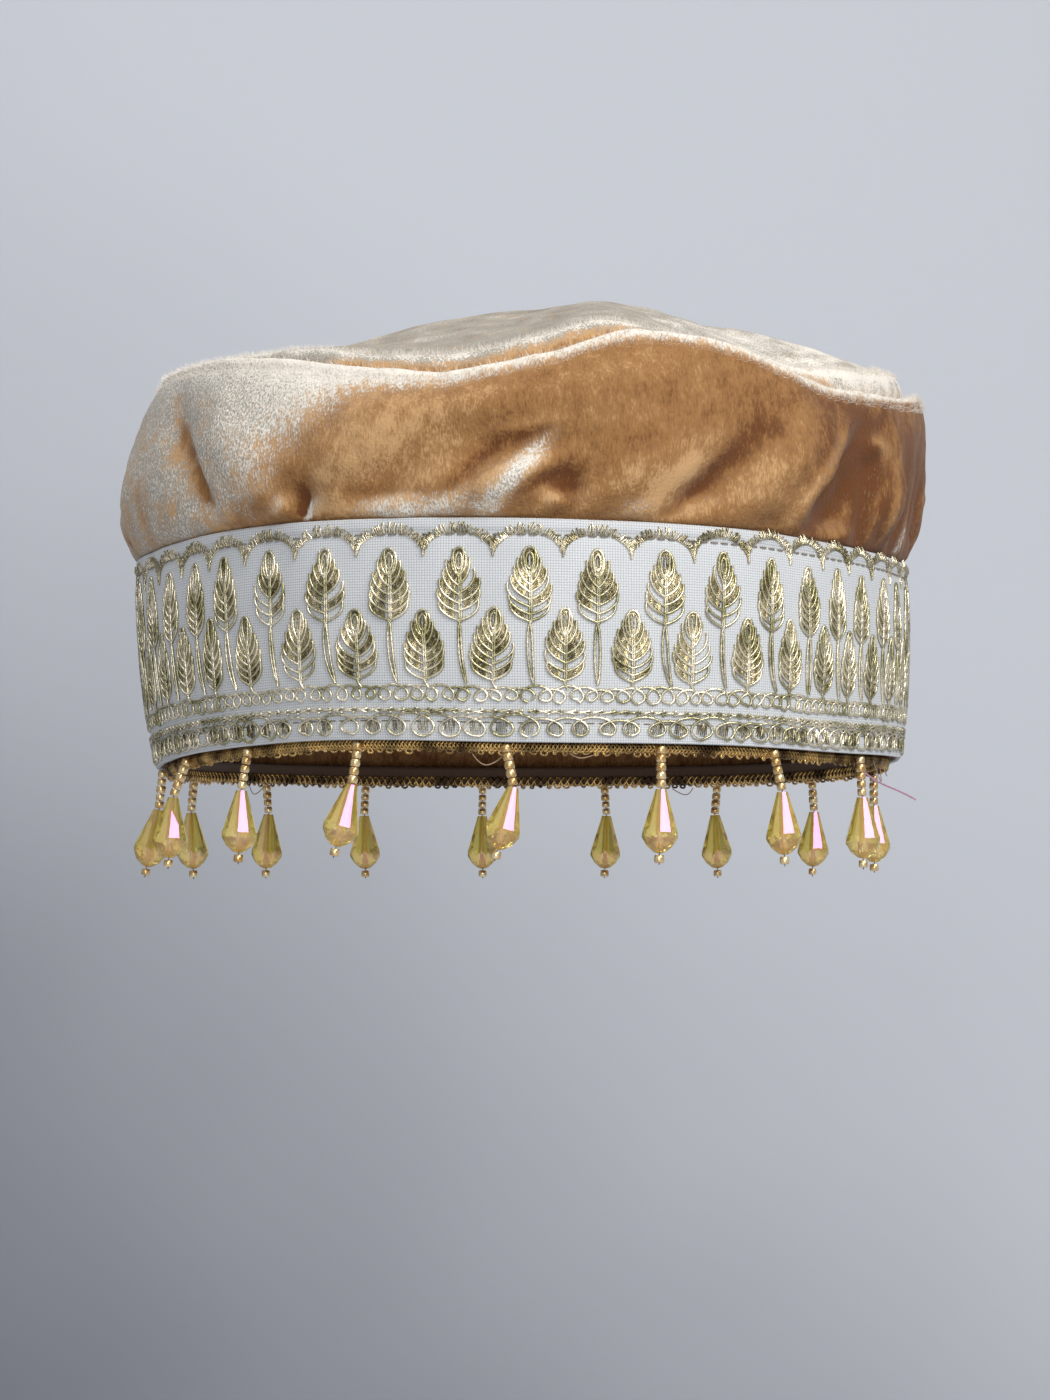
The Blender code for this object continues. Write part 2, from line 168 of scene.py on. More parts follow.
# Edges where the cloth overhangs itself, inwards to the right of their upward line
TUCKS = in_metres(Fold, "height length width depth", (
    ("left_edge", -50, 62, -33, 13, 2.2, 0.8),
    ("front_overhang", -1, 65.5, 80, 10, 2.4, -1.4),
    ("flash_edge", -8, 56, 52, 10, 2.4, 0.8),
    ("centre_edge", 21, 55, 48, 12, 2.6, -1.1),
    ("drape_edge", 45.0, 60, 32, 15, 2.4, -1.9),
    ("recess_pleat", 57, 57, 4, 10, 1.6, 0.9),
    ("right_lobe", 82, 60, 0, 10, 2.0, 1.0),
    ("pleat_edge", 64, 58, -2, 10, 2.0, -0.9),
    ("back_edge_a", 126, 60, 30, 13, 2.6, -1.4),
    ("back_edge_b", 201, 60, 44, 13, 2.6, -1.4),
    ("back_edge_c", 234, 60, -20, 13, 2.4, 1.2),
))

TopFold = namedtuple("TopFold", "name x y direction length width depth")
TOP_FOLDS = in_metres(TopFold, "x y length width depth", (
    ("right_ridge", 34, -38, 30, 30, 9, 1.6),
    ("right_dip", 56, -30, 40, 30, 10, -3.0),
    ("front_left_dip", -34, -56, 60, 20, 9, -1.6),
    ("left_pinch", -56, -46, -30, 9, 6, -2.2),
    ("right_tuck", 66, -34, 100, 8, 5, -1.6),
    ("back_dip", 36, 50, 150, 22, 10, -2.4),
    ("back_ridge", -34, 44, 215, 24, 10, 1.8),
))

# Patches of painted sheen on the pile, laid out like the folds: a depth above 0 turns it silver, below 0
# turns it tan
PAINTED_SHEEN_PATCHES = in_metres(Fold, "height length width", (
    ("left_stripe", -53.5, 65, -35, 21, 3.0, -0.85),
    ("left_low", -66, 56, -20, 16, 8, -0.3),
    ("left_shoulder", -60, 84, 90, 26, 6, 0.2),
    ("seam_glow", -36, 85, 84, 22, 6, 0.6),
    ("seam_drift", -30, 80, 70, 22, 10, 0.4),
    ("front_low", -15, 51, 87, 14, 3.0, 0.75),
    ("front_flash", -2, 57.5, 40, 9, 2.1, 1.15),
    ("right_low", 15, 51, 80, 8, 3.0, 0.2),
    ("right_glint", 70, 51, 10, 5, 1.6, 0.5),
    ("back_flash_a", 128, 60, 40, 14, 6, 0.5),
    ("back_flash_b", 172, 66, -35, 15, 6, 0.5),
    ("back_flash_c", 212, 58, 50, 14, 6, 0.45),
))

# Painted shade and painted light on the pile, laid out like the folds: darker above 0, lighter below 0
PAINTED_SHADE_PATCHES = in_metres(Fold, "height length width", (
    ("knob_shade", 52, 71, -30, 8, 5, 0.7),
    ("recess_low", 49, 52, 60, 8, 4, -0.45),
    ("drape_light", 38, 56, 40, 12, 7, -0.5),
    ("valley_light", 22, 59, 48, 12, 6, -0.5),
    ("valley_top", 34, 66, 48, 13, 3.2, -0.1),
    ("centre_shade", 14.5, 66, 60, 8, 6, 0.15),
    ("stripe_light", -53, 62, -35, 18, 3.4, -0.6),
    ("drape_shade", 48, 60, 34, 14, 1.8, 0.5),
    ("drape_ridge", 42, 60, 32, 12, 2.4, 0.3),
    ("pleat_shade_a", 54.5, 58, -3, 10, 1.3, 0.6),
    ("pleat_light", 60.5, 57, -2, 9, 1.4, -0.5),
    ("pleat_shade_b", 67, 59, 0, 11, 1.6, 0.6),
    ("lobe_light", 73, 54, 10, 8, 2.5, -0.6),
    ("dimple_shade", 76.5, 62.7, 60, 4, 2.2, 0.7),
    ("knob_light", 58, 70, 0, 3, 2.6, -0.9),
    ("left_shade", -18, 64, 60, 16, 9, -0.55),
))

# Soft unevenness of the velvet: the scale and the depth of each noise
SIDE_RUFFLES = ((75.0, 0.6 * MM), (170.0, 0.4 * MM), (360.0, 0.16 * MM))
TOP_RUFFLES = ((60.0, 0.8 * MM), (190.0, 0.25 * MM))

# The painted sheen along the seam: its width, what it gains at the left, and the hairs on it
SEAM_SHEEN_WIDTH = 1.8 * MM
LEFT_SEAM_SHEEN_WIDTH = 3.2 * MM
HAIRS = 15000
HAIR_LENGTH = 1.5 * MM
HAIR_RADIUS = 0.07 * MM

# The ribbon's turned edge and weave. Its machine stitching is in millimetres
HEM_LIFT = 0.35 * MM
HEM_FROM = 45.2 * MM
HEM_TO = 47.6 * MM
WEAVE_PITCH = 0.58 * MM
StitchLine = namedtuple("StitchLine", "height lift")
STITCH_LINES = (StitchLine(4.2, 0.1), StitchLine(44.4, 0.45))
STITCH_LENGTH = 2.1
STITCH_GAP = 0.5

# Degrees from one tall leaf to the next: they crowd at both sides of the front
Pitch = namedtuple("Pitch", "bearing degrees")
REPEAT_PITCHES = (
    Pitch(-66, 7.6),
    Pitch(-50, 7.3),
    Pitch(-37, 9.3),
    Pitch(0, 9.5),
    Pitch(20, 9.2),
    Pitch(34, 8.0),
    Pitch(45, 6.5),
    Pitch(60, 6.9),
    Pitch(110, 8.6),
    Pitch(180, 9.2),
    Pitch(240, 8.8),
)

# Leaves in millimetres. Offset is their place in a repeat, base their foot on the flat ribbon
LeafKind = namedtuple("LeafKind", "name offset base least_height greatest_height")
LEAF_KINDS = (
    LeafKind("tall", 0.0, 25.8, 15.6, 16.6),
    LeafKind("low", 0.5, 13.2, 14.8, 15.8),
)
TALL_STEM = 13.4
LOW_STEM = 1.8
TIP_MIDDLE = 0.815
TIP_REACH = 0.185

# Rows of loops in millimetres. Share is how much of a repeat each loop takes
LoopRow = namedtuple("LoopRow", "share middle reach swing steps lift")
UPPER_LOOPS = LoopRow(0.232, 10.3, 1.5, 2.2, 14, 0.26)
LOWER_LOOPS = LoopRow(0.388, 3.4, 2.15, 3.6, 18, 0.3)
LOOP_FILLING_REACH = 1.9
JOINING_HEIGHT = 6.5

# Arches in millimetres. ARCH_LIFT is how much higher they stand at the right of the front
ARCH_FOOT = 39.6
ARCH_RISE = 5.2
ARCH_LIFT = 1.7
ARCH_STITCHES = 62
POINT_STITCHES = 22
FLAT_RADIUS = 92.5  # turns millimetres along the ribbon into bearings

# The braid. Its loops reach LOOP_DEPTH below its tape
LOOP_DEPTH = 0.8 * MM
PLAITS = 150
BRAID_LOOPS = 236
Loose = namedtuple("Loose", "bearing lift reach drop")
LOOSE_THREADS = in_metres(Loose, "lift reach drop", (
    (-8.0, -2.6, 7.0, -2.4),
    (6.0, -2.2, 6.0, -1.0),
    (67.0, -1.0, 9.0, -5.0),
    (72.0, -1.5, 6.0, -3.0),
    (150.0, -2.6, 6.0, -1.8),
    (231.0, -2.5, 7.0, -2.2),
))

Thread = namedtuple("Thread", "radius sides twist")
LEAF_THREAD = Thread(0.32 * MM, 5, 9.0 * MM)
FILLING_THREAD = Thread(0.21 * MM, 4, 5.0 * MM)
LOOP_FILLING_THREAD = Thread(0.24 * MM, 4, 9.0 * MM)
ARCH_THREAD = Thread(0.23 * MM, 4, 5.0 * MM)
MACHINE_THREAD = Thread(0.16 * MM, 6, 9.0 * MM)
PLAIT_THREAD = Thread(0.3 * MM, 5, 9.0 * MM)
LOOSE_THREAD = Thread(0.13 * MM, 6, 9.0 * MM)
END_THREAD = Thread(0.24 * MM, 6, 9.0 * MM)
DROP_THREAD = Thread(0.14 * MM, 6, 9.0 * MM)

Drop = namedtuple("Drop", "bearing string bead")
FRONT_DROPS = (
    Drop(-86.0, -5.4, -11.5),
    Drop(-63.5, -20.0, -4.0),
    Drop(-45.7, -9.0, -2.3),
    Drop(-25.1, -8.4, -14.0),
    Drop(-3.2, 10.6, -14.0),
    Drop(19.3, 0.0, -1.7),
    Drop(38.4, 12.0, 1.7),
    Drop(60.2, 2.8, 0.5),
)
BACK_START = 103.0
BACK_STEP = 21.2
BACK_COUNT = 8
BACK_LEAN = 5.0
Facet = namedtuple("Facet", "along radius turn")
DROP_CUT = (
    Facet(0.0, BEAD_BORE, 0.0),
    Facet(0.0, 1.25 * MM, 0.0),
    Facet(9.4 * MM, 4.05 * MM, 0.0),
    Facet(10.6 * MM, 4.0 * MM, 0.5),
    Facet(12.6 * MM, 2.9 * MM, 0.0),
    Facet(13.8 * MM, 1.3 * MM, 0.5),
    Facet(BEAD_LENGTH, BEAD_BORE, 0.5),
)
DROP_SIDES = 10

# Colours: bright, dark and roughness of the metal threads, colour and worn colour of the others
METAL_THREADS = {
    "gold_thread": ((0.94, 0.86, 0.67), (0.40, 0.365, 0.19), 0.24),
    "gold_filling": ((0.70, 0.61, 0.37), (0.17, 0.14, 0.06), 0.28),
    "gold_arches": ((0.88, 0.80, 0.60), (0.32, 0.275, 0.145), 0.26),
    # The braid's gold: its own deep gold, darkened further as painted shade under the rim
    "gold_braid": ((0.72, 0.47, 0.17), (0.07, 0.035, 0.012), 0.22),
}
PLAIN_THREADS = {
    "sewing_thread": ((0.24, 0.19, 0.13), (0.14, 0.11, 0.075)),
    # The braid's ground: dark cotton, darkened further as painted shade under the rim
    "braid_ground": ((0.10, 0.05, 0.02), (0.045, 0.02, 0.009)),
    "loose_thread": ((0.42, 0.30, 0.11), (0.24, 0.12, 0.12)),
    "mauve_thread": ((0.46, 0.24, 0.35), (0.34, 0.16, 0.25)),
    # Pale tips of the fringe hairs: painted sheen on the seam's ridges
    "pile_tips": ((0.80, 0.76, 0.70), (0.58, 0.52, 0.44)),
}
PILE_TAN = (0.50, 0.30, 0.14)
# Darker copies of the pile's tan, for painted shade
PILE_SHADED = (0.29, 0.145, 0.053)
PILE_DEEP_SHADE = (0.13, 0.048, 0.016)
# Grey, silver and white of the painted sheen on the pile
PILE_SHEEN_GREY = (0.155, 0.143, 0.123)
PILE_SHEEN_SILVER = (0.33, 0.305, 0.26)
PILE_SHEEN_WHITE = (0.76, 0.71, 0.63)
# Painted shade between the woven threads, the threads' own colour, and painted shade of puckers
WEAVE_GAP_SHADE = (0.37, 0.385, 0.40)
WEAVE_PALE = (0.63, 0.645, 0.655)
WEAVE_PUCKER_SHADE = (0.46, 0.475, 0.49)
GLASS_YELLOW = (1.0, 0.83, 0.28)
GLASS_AMBER = (0.98, 0.76, 0.17)
SEED_PALE = (1.0, 0.80, 0.44)
SEED_DEEP = (0.64, 0.37, 0.10)
# The wall's painted shade and painted light, from its lower left to its upper right
WALL_SHADED = (0.13, 0.14, 0.165)
WALL_LIT = (0.69, 0.71, 0.75)
FLOOR_PALE = (0.55, 0.56, 0.59)

# Fineness of the cloth meshes
VELVET_SEGMENTS = 440
SIDE_ROWS = 64
TOP_ROWS = 56
RIBBON_SEGMENTS = 380

# The stage: a floor and a wall with a round corner between them
FLOOR_HEIGHT = -0.5
FLOOR_FRONT = -2.5
CORNER_START = 0.9
CORNER_RADIUS = 0.5
CORNER_STEPS = 12
WALL_TOP = 2.2
STAGE_HALF_WIDTH = 3.0
Lamp = namedtuple("Lamp", "name place size energy colour")
LAMPS = (
    Lamp("window", (0.7, -1.0, 0.85), 0.8, 17.0, (1.0, 0.99, 0.97)),
    Lamp("sky", (-0.5, 0.0, 1.5), 1.0, 10.0, (0.97, 0.98, 1.0)),
    Lamp("card", (0.0, -2.2, 0.3), 1.4, 15.0, (1.0, 0.985, 0.96)),
)
LAMP_TARGET = (0.0, 0.0, 0.05)
ROOM_COLOUR = (0.86, 0.88, 0.93, 1.0)
ROOM_STRENGTH = 0.41

# The photograph's camera, with its picture 1400 pixels high
CAMERA_PLACE = (-0.7 * MM, -858.0 * MM, -44.3 * MM)
CAMERA_PITCH = 3.99
PICTURE_HEIGHT = 1400
FOCAL_PIXELS = 3532
SENSOR_HEIGHT = 36.0


# Shapes that the solids share


def smoothstep(low, high, value):
    share = np.clip((value - low) / (high - low), 0.0, 1.0)
    return share * share * (3.0 - 2.0 * share)


def plateau(start, full, fade, end, value):
    """0 outside start and end, 1 between full and fade, with soft steps."""
    return smoothstep(start, full, value) * (1.0 - smoothstep(fade, end, value))


def table_value(rows, column, bearing):
    """A table's column at a bearing, on a smooth closed curve through its rows."""
    count = len(rows)
    for index, row in enumerate(rows):
        after = rows[(index + 1) % count]
        span = (after.bearing - row.bearing) % 360
        step = (bearing - row.bearing) % 360
        if step <= span:
            break
    before = rows[index - 1]
    beyond = rows[(index + 2) % count]
    back = (row.bearing - before.bearing) % 360
    ahead = (beyond.bearing - after.bearing) % 360
    start, end = getattr(row, column), getattr(after, column)
    slope_in = (end - getattr(before, column)) / (span + back) * span
    slope_out = (getattr(beyond, column) - start) / (ahead + span) * span
    t = step / span
    return (
        start * (2 * t**3 - 3 * t**2 + 1)
        + slope_in * (t**3 - 2 * t**2 + t)
        + end * (3 * t**2 - 2 * t**3)
        + slope_out * (t**3 - t**2)
    )


def closed_curve(rows, column):
    """A table's column as a function of any array of bearings."""
    steps = np.arange(0.0, 360.5, 0.5)
    values = [table_value(rows, column, bearing % 360) for bearing in steps]
    return lambda bearing: np.interp(np.mod(bearing, 360.0), steps, values)


edge_top = closed_curve(BAND_EDGES, "top")
edge_bottom = closed_curve(BAND_EDGES, "bottom")
seam_height = closed_curve(SEAMS, "height")
seam_radius = closed_curve(SEAMS, "radius")
seam_belly = closed_curve(SEAMS, "belly")
seam_roll = closed_curve(SEAMS, "roll")
seam_shoulder = closed_curve(SEAMS, "shoulder")


def place(bearing, radius, height):
    """Points at bearings, radii and heights, one row each."""
    angle = np.radians(bearing)
    x, y, z = np.broadcast_arrays(radius * np.sin(angle), -radius * np.cos(angle), height)
    return np.stack([x, y, z], axis=-1)


def band_radius(bearing, height):
    flare = BAND_FLARE - BAND_TILT * np.sin(np.radians(bearing))
    return RIM_RADIUS + flare * height - BAND_CURVE * height**2


def band_height(bearing, share):
    bottom = edge_bottom(bearing)
    return bottom + (BAND_HEIGHT + edge_top(bearing) - bottom) * share


def fold_shares(fold, bearing, height):
    """How far points lie along and across a fold, as shares of its length and width."""
    turn = np.mod(bearing - fold.bearing + 180, 360) - 180
    sideways = np.radians(turn) * RIM_RADIUS
    upwards = height - fold.height
    slant = math.radians(fold.slant)
    along = upwards * math.cos(slant) + sideways * math.sin(slant)
    across = sideways * math.cos(slant) - upwards * math.sin(slant)
    return along / fold.length, across / fold.width


def fold_offset(folds, bearing, height):
    """How far the folds move the side outwards."""
    total = np.zeros_like(height)
    for fold in folds:
        along, across = fold_shares(fold, bearing, height)
        total += fold.depth * np.exp(-(along**2) - across**2)
    return total


def tuck_offset(tucks, bearing, height):
    """How far overlapping edges move the side: out on one hand of their line, in on the other."""
    total = np.zeros_like(height)
    for tuck in tucks:
        along, across = fold_shares(tuck, bearing, height)
        total += tuck.depth * across * np.exp(0.5 - along**2 - 0.5 * across**2)
    return total


def side_surface(bearing, share):
    """Radius and height of the crown's side, from 0 at the band's upper edge to 1 at the shoulder."""
    low = band_height(bearing, 1.0)
    height = low + (seam_height(bearing) - SHOULDER_DROP - low) * share
    start = band_radius(bearing, low) - BAND_THICKNESS - SEWN_GAP
    bulge = max(math.sin(math.pi * share**0.75), 0.0) ** 0.75
    radius = start + (seam_radius(bearing) - start) * smoothstep(0.0, 1.0, share)
    radius = radius + seam_belly(bearing) * bulge
    radius = radius + fold_offset(SIDE_FOLDS, bearing, height) * plateau(0.0, 0.2, 0.8, 1.0, share)
    small = fold_offset(FINE_FOLDS, bearing, height) + tuck_offset(TUCKS, bearing, height)
    return radius + small * plateau(0.0, 0.06, 0.8, 1.0, share), height


def seam_line(bearing, inset, lift):
    return place(bearing, seam_radius(bearing) - inset, seam_height(bearing) + lift)


def top_surface(bearing, share):
    """Points of the top panel, from 0 at its peak to 1 at its crest beside the seam."""
    crest = seam_line(bearing, CREST_INSET, seam_roll(bearing))
    peak = np.array(CROWN_PEAK)
    points = peak + (crest - peak) * share
    points[:, 2] = peak[2] + (crest[:, 2] - peak[2]) * share**2
    points[:, 2] += seam_shoulder(bearing) * 4.0 * share**2 * (1.0 - share**2)
    for fold in TOP_FOLDS:
        direction = math.radians(fold.direction)
        out_x, out_y = math.sin(direction), -math.cos(direction)
        along = (points[:, 0] - fold.x) * out_x + (points[:, 1] - fold.y) * out_y
        across = (points[:, 1] - fold.y) * out_x - (points[:, 0] - fold.x) * out_y
        shape = np.exp(-((along / fold.length) ** 2) - (across / fold.width) ** 2)
        points[:, 2] += fold.depth * shape * (1.0 - smoothstep(0.86, 1.0, share))
    return points


# Meshes


def add_object(name, mesh):
    obj = bpy.data.objects.new(name, mesh)
    bpy.context.scene.collection.objects.link(obj)
    return obj


def ring_mesh(name, rings, material, centre=None):
    """A cloth face through rings of points. A centre closes it beyond the last ring."""
    count = len(rings[0])
    points = np.concatenate(rings)
    faces = []
    for row in range(len(rings) - 1):
        low, high = row * count, (row + 1) * count
        for segment in range(count):
            beside = (segment + 1) % count
            faces.append((low + segment, low + beside, high + beside, high + segment))
    if centre is not None:
        last = (len(rings) - 1) * count
        points = np.concatenate([points, [centre]])
        for segment in range(count):
            faces.append((last + segment, last + (segment + 1) % count, len(points) - 1))
    mesh = bpy.data.meshes.new(name)
    mesh.from_pydata(points.tolist(), [], faces)
    mesh.shade_smooth()
    mesh.materials.append(material)
    return add_object(name, mesh)


def add_ring_uv(obj, count, heights):
    """A UV map in metres: u along the rim, v by the rings' own heights."""
    mesh = obj.data
    layer = mesh.uv_layers.new(name="cloth")
    around = 2 * math.pi * RIM_RADIUS
    values = np.zeros((len(mesh.loops), 2))
    for polygon in mesh.polygons:
        corners = list(polygon.loop_indices)
        segments = [mesh.loops[i].vertex_index % count for i in corners]
        wraps = max(segments) - min(segments) > 1
        for i, segment in zip(corners, segments):
            row = mesh.loops[i].vertex_index // count
            turn = segment + count if wraps and segment == 0 else segment
            values[i] = turn / count * around, heights[row]
    layer.data.foreach_set("uv", values.ravel())


def thicken(obj, thickness):
    modifier = obj.modifiers.new("wall", "SOLIDIFY")
    modifier.thickness = thickness
    modifier.offset = -1.0
    modifier.use_rim = True
    modifier.use_quality_normals = True


def all_bearings(count):
    """Bearings in equal steps all round."""
    return np.arange(count) * 360.0 / count


# Shader building


class Graph:
    """Short ways to add and link nodes in a node tree."""

    def __init__(self, tree):
        self.tree = tree

    def add(self, kind, inputs=None, **settings):
        """A node with its settings. Inputs takes sockets to link from, or constants."""
        node = self.tree.nodes.new(kind)
        for key, value in settings.items():
            setattr(node, key, value)
        for key, value in (inputs or {}).items():
            self.feed(node.inputs[key], value)
        return node

    def feed(self, socket, value):
        """Links an input to the socket given, or sets it to the constant given."""
        if isinstance(value, bpy.types.NodeSocket):
            self.tree.links.new(value, socket)
        else:
            socket.default_value = (*value, 1.0) if socket.type == "RGBA" else value

    def math(self, operation, *values):
        return self.add("ShaderNodeMath", dict(enumerate(values)), operation=operation).outputs[0]

    def noise(self, vector, scale, detail=2.0, roughness=0.5):
        inputs = {"Vector": vector, "Scale": scale, "Detail": detail, "Roughness": roughness}
        return self.add("ShaderNodeTexNoise", inputs).outputs["Fac"]

    def blend(self, factor, first, second):
        """Two colours mixed. The mix node's colour inputs are its numbers 6 and 7."""
        inputs = {"Factor": factor, 6: first, 7: second}
        return self.add("ShaderNodeMix", inputs, data_type="RGBA").outputs[2]

    def step(self, value, low, high):
        inputs = {"Value": value, "From Min": low, "From Max": high}
        node = self.add("ShaderNodeMapRange", inputs, interpolation_type="SMOOTHSTEP")
        return node.outputs["Result"]


def soft_grain_group():
    """Blotches and grain: Blotch is broad, Grain is fine, and Height joins them for a bump."""
    tree = bpy.data.node_groups.new("soft_grain", "ShaderNodeTree")
    for label in ("Blotch scale", "Grain scale", "Grain share"):
        tree.interface.new_socket(label, in_out="INPUT", socket_type="NodeSocketFloat")
    for label in ("Blotch", "Grain", "Height"):
        tree.interface.new_socket(label, in_out="OUTPUT", socket_type="NodeSocketFloat")
    graph = Graph(tree)
    given = graph.add("NodeGroupInput").outputs
    where = graph.add("ShaderNodeTexCoord").outputs["Object"]
    blotch = graph.noise(where, given["Blotch scale"], 3.0)
    grain = graph.noise(where, given["Grain scale"])
    fine = graph.math("MULTIPLY", grain, given["Grain share"])
    broad = graph.math("MULTIPLY", blotch, graph.math("SUBTRACT", 1.0, given["Grain share"]))
    height = graph.math("ADD", fine, broad)
    graph.add("NodeGroupOutput", {"Blotch": blotch, "Grain": grain, "Height": height})
    return tree


def new_material(name, **settings):
    """A Principled material with its constant settings. Gives it, its graph and its inputs."""
    material = bpy.data.materials.new(name)
    material.use_nodes = True
    graph = Graph(material.node_tree)
    inputs = material.node_tree.nodes["Principled BSDF"].inputs
    for label, value in settings.items():
        graph.feed(inputs[label.replace("_", " ")], value)
    return material, graph, inputs


def use_grain(graph, group, blotch_scale, grain_scale, grain_share):
    inputs = {"Blotch scale": blotch_scale, "Grain scale": grain_scale, "Grain share": grain_share}
    return graph.add("ShaderNodeGroup", inputs, node_tree=group).outputs


def add_bump(graph, target, height, strength, distance):
    inputs = {"Height": height, "Strength": strength, "Distance": distance}
    graph.feed(target["Normal"], graph.add("ShaderNodeBump", inputs).outputs["Normal"])


def pile_strokes(graph, scale, stretch):
    """Noise drawn out along Z, like brushed pile."""
    where = graph.add("ShaderNodeTexCoord").outputs["Object"]
    drawn = graph.add("ShaderNodeMapping", {"Vector": where, "Scale": (1.0, 1.0, stretch)})
    return graph.noise(drawn.outputs[0], scale, 2.0, 0.6)


def painted_silver_sheen(graph, nap, strokes, streaks, cloud):
    """How much painted silver sheen the pile shows: an even part, and strokes where it is brushed."""
    loose = graph.step(nap, 0.1, 0.5)
    patches = graph.math("MULTIPLY", graph.math("SUBTRACT", streaks, 0.5), loose)
    turned = graph.math("MULTIPLY_ADD", patches, 1.5, graph.math("ADD", nap, cloud))
    spread = graph.math("MULTIPLY_ADD", strokes, 3.4, -1.2)
    brushed = graph.step(graph.math("ADD", turned, spread), 0.6, 1.45)
    brushed = graph.math("MULTIPLY", brushed, graph.step(nap, -0.05, 0.4))
    smooth = graph.step(turned, 0.05, 1.0)
    return graph.math("MULTIPLY_ADD", smooth, 0.36, graph.math("MULTIPLY", brushed, 0.64))


def shaded_pile_tan(graph, nap, hollow, strokes, streaks, cloud):
    """The pile's tan with painted shade, darker in hollows."""
    shade = graph.math("MULTIPLY_ADD", nap, -0.6, hollow)
    shade = graph.math("MULTIPLY_ADD", cloud, 1.2, shade)
    shade = graph.math("ADD", strokes, graph.math("ADD", shade, -0.7))
    shade = graph.math("MULTIPLY_ADD", streaks, 0.8, shade)
    mild = graph.blend(graph.step(shade, 0.0, 0.55), PILE_TAN, PILE_SHADED)
    return graph.blend(graph.step(shade, 0.5, 1.15), mild, PILE_DEEP_SHADE)


def velvet_material(group):
    """Crushed pile: tan with painted shade, flecked with painted silver and white sheen where the pile
    is turned and where it faces the light.
    """
    material, graph, target = new_material(
        "velvet",
        Roughness=0.85,
        Specular_IOR_Level=0.1,
        Sheen_Weight=0.13,
        Sheen_Roughness=0.5,
        Sheen_Tint=(1.0, 0.93, 0.84),
    )
    grain = use_grain(graph, group, 150.0, 1500.0, 0.7)
    # The pile's turned nap with painted sheen, its painted white sheen and its painted shade, from its
    # attributes
    nap, frost, hollow = [
        graph.add("ShaderNodeAttribute", attribute_name=name).outputs["Fac"]
        for name in ("nap", "frost", "hollow")
    ]
    strokes = pile_strokes(graph, 2300.0, 0.3)
    flecks = pile_strokes(graph, 2600.0, 0.55)
    streaks = pile_strokes(graph, 480.0, 0.5)
    cloud = graph.math("MULTIPLY_ADD", grain["Blotch"], 0.5, -0.25)
    # Painted silver sheen over the tan with its painted shade
    silver = painted_silver_sheen(graph, nap, strokes, streaks, cloud)
    tan = shaded_pile_tan(graph, nap, hollow, strokes, streaks, cloud)
    # Painted white sheen flecked over the silver
    white_sheen_share = graph.math("ADD", frost, graph.math("MULTIPLY_ADD", flecks, 2.4, -0.7))
    grey = graph.blend(graph.step(white_sheen_share, -0.2, 0.6), PILE_SHEEN_GREY, PILE_SHEEN_SILVER)
    pale = graph.blend(graph.step(white_sheen_share, 0.75, 1.35), grey, PILE_SHEEN_WHITE)
    graph.feed(target["Base Color"], graph.blend(silver, tan, pale))
    height = graph.math("MULTIPLY_ADD", strokes, 0.8, grain["Height"])
    add_bump(graph, target, height, 0.6, 0.45 * MM)
    return material


def ribbon_material(group):
    """Plain weave: two crossing sets of threads, on the ribbon's own UV map."""
    material, graph, target = new_material(
        "ribbon_weave", Roughness=0.55, Sheen_Weight=0.25, Sheen_Roughness=0.4, Specular_IOR_Level=0.4
    )
    where = graph.add("ShaderNodeUVMap", uv_map="cloth").outputs["UV"]
    axes = graph.add("ShaderNodeSeparateXYZ", {0: where}).outputs
    waves = []
    for axis in ("X", "Y"):
        phase = graph.math("MULTIPLY", axes[axis], math.pi / WEAVE_PITCH)
        waves.append(graph.math("SINE", phase))
    ups = graph.math("ABSOLUTE", graph.math("MULTIPLY", *waves))
    grain = use_grain(graph, group, 90.0, 1400.0, 0.5)
    # Painted shade between the raised threads, and painted pucker shade in random blotches
    thread = graph.blend(graph.step(ups, 0.0, 0.45), WEAVE_GAP_SHADE, WEAVE_PALE)
    pucker_shade = graph.math("MULTIPLY", graph.step(grain["Blotch"], 0.25, 0.75), 0.3)
    graph.feed(target["Base Color"], graph.blend(pucker_shade, thread, WEAVE_PUCKER_SHADE))
    height = graph.math("MULTIPLY_ADD", grain["Grain"], 0.5, ups)
    add_bump(graph, target, height, 0.4, 0.12 * MM)
    return material


def metal_thread_material(name, group, bright, dark, roughness):
    """Metal-wrapped thread, which tarnishes in places."""
    material, graph, target = new_material(name, Metallic=0.8)
    grain = use_grain(graph, group, 160.0, 1900.0, 0.8)
    tarnish = graph.step(grain["Blotch"], 0.35, 0.68)
    graph.feed(target["Base Color"], graph.blend(tarnish, bright, dark))
    rough = graph.math("MULTIPLY_ADD", grain["Grain"], 0.25, roughness - 0.14)
    graph.feed(target["Roughness"], rough)
    add_bump(graph, target, grain["Height"], 0.6, 0.16 * MM)
    return material


def plain_thread_material(name, group, colour, worn):
    """Thread without metal."""
    material, graph, target = new_material(name, Roughness=0.7, Sheen_Weight=0.3)
    grain = use_grain(graph, group, 300.0, 2500.0, 0.7)
    graph.feed(target["Base Color"], graph.blend(grain["Grain"], colour, worn))
    add_bump(graph, target, grain["Height"], 0.4, 0.05 * MM)
    return material


def drop_material(group):
    """Yellow glass with a rainbow coat on its facets."""
    material, graph, target = new_material(
        "drop_glass",
        Transmission_Weight=0.77,
        IOR=1.5,
        Thin_Film_Thickness=273.0,
        Thin_Film_IOR=1.93,
    )
    grain = use_grain(graph, group, 120.0, 700.0, 0.5)
    tint = graph.step(grain["Blotch"], 0.3, 0.7)
    graph.feed(target["Base Color"], graph.blend(tint, GLASS_YELLOW, GLASS_AMBER))
    graph.feed(target["Roughness"], graph.math("MULTIPLY", grain["Grain"], 0.06))
    return material


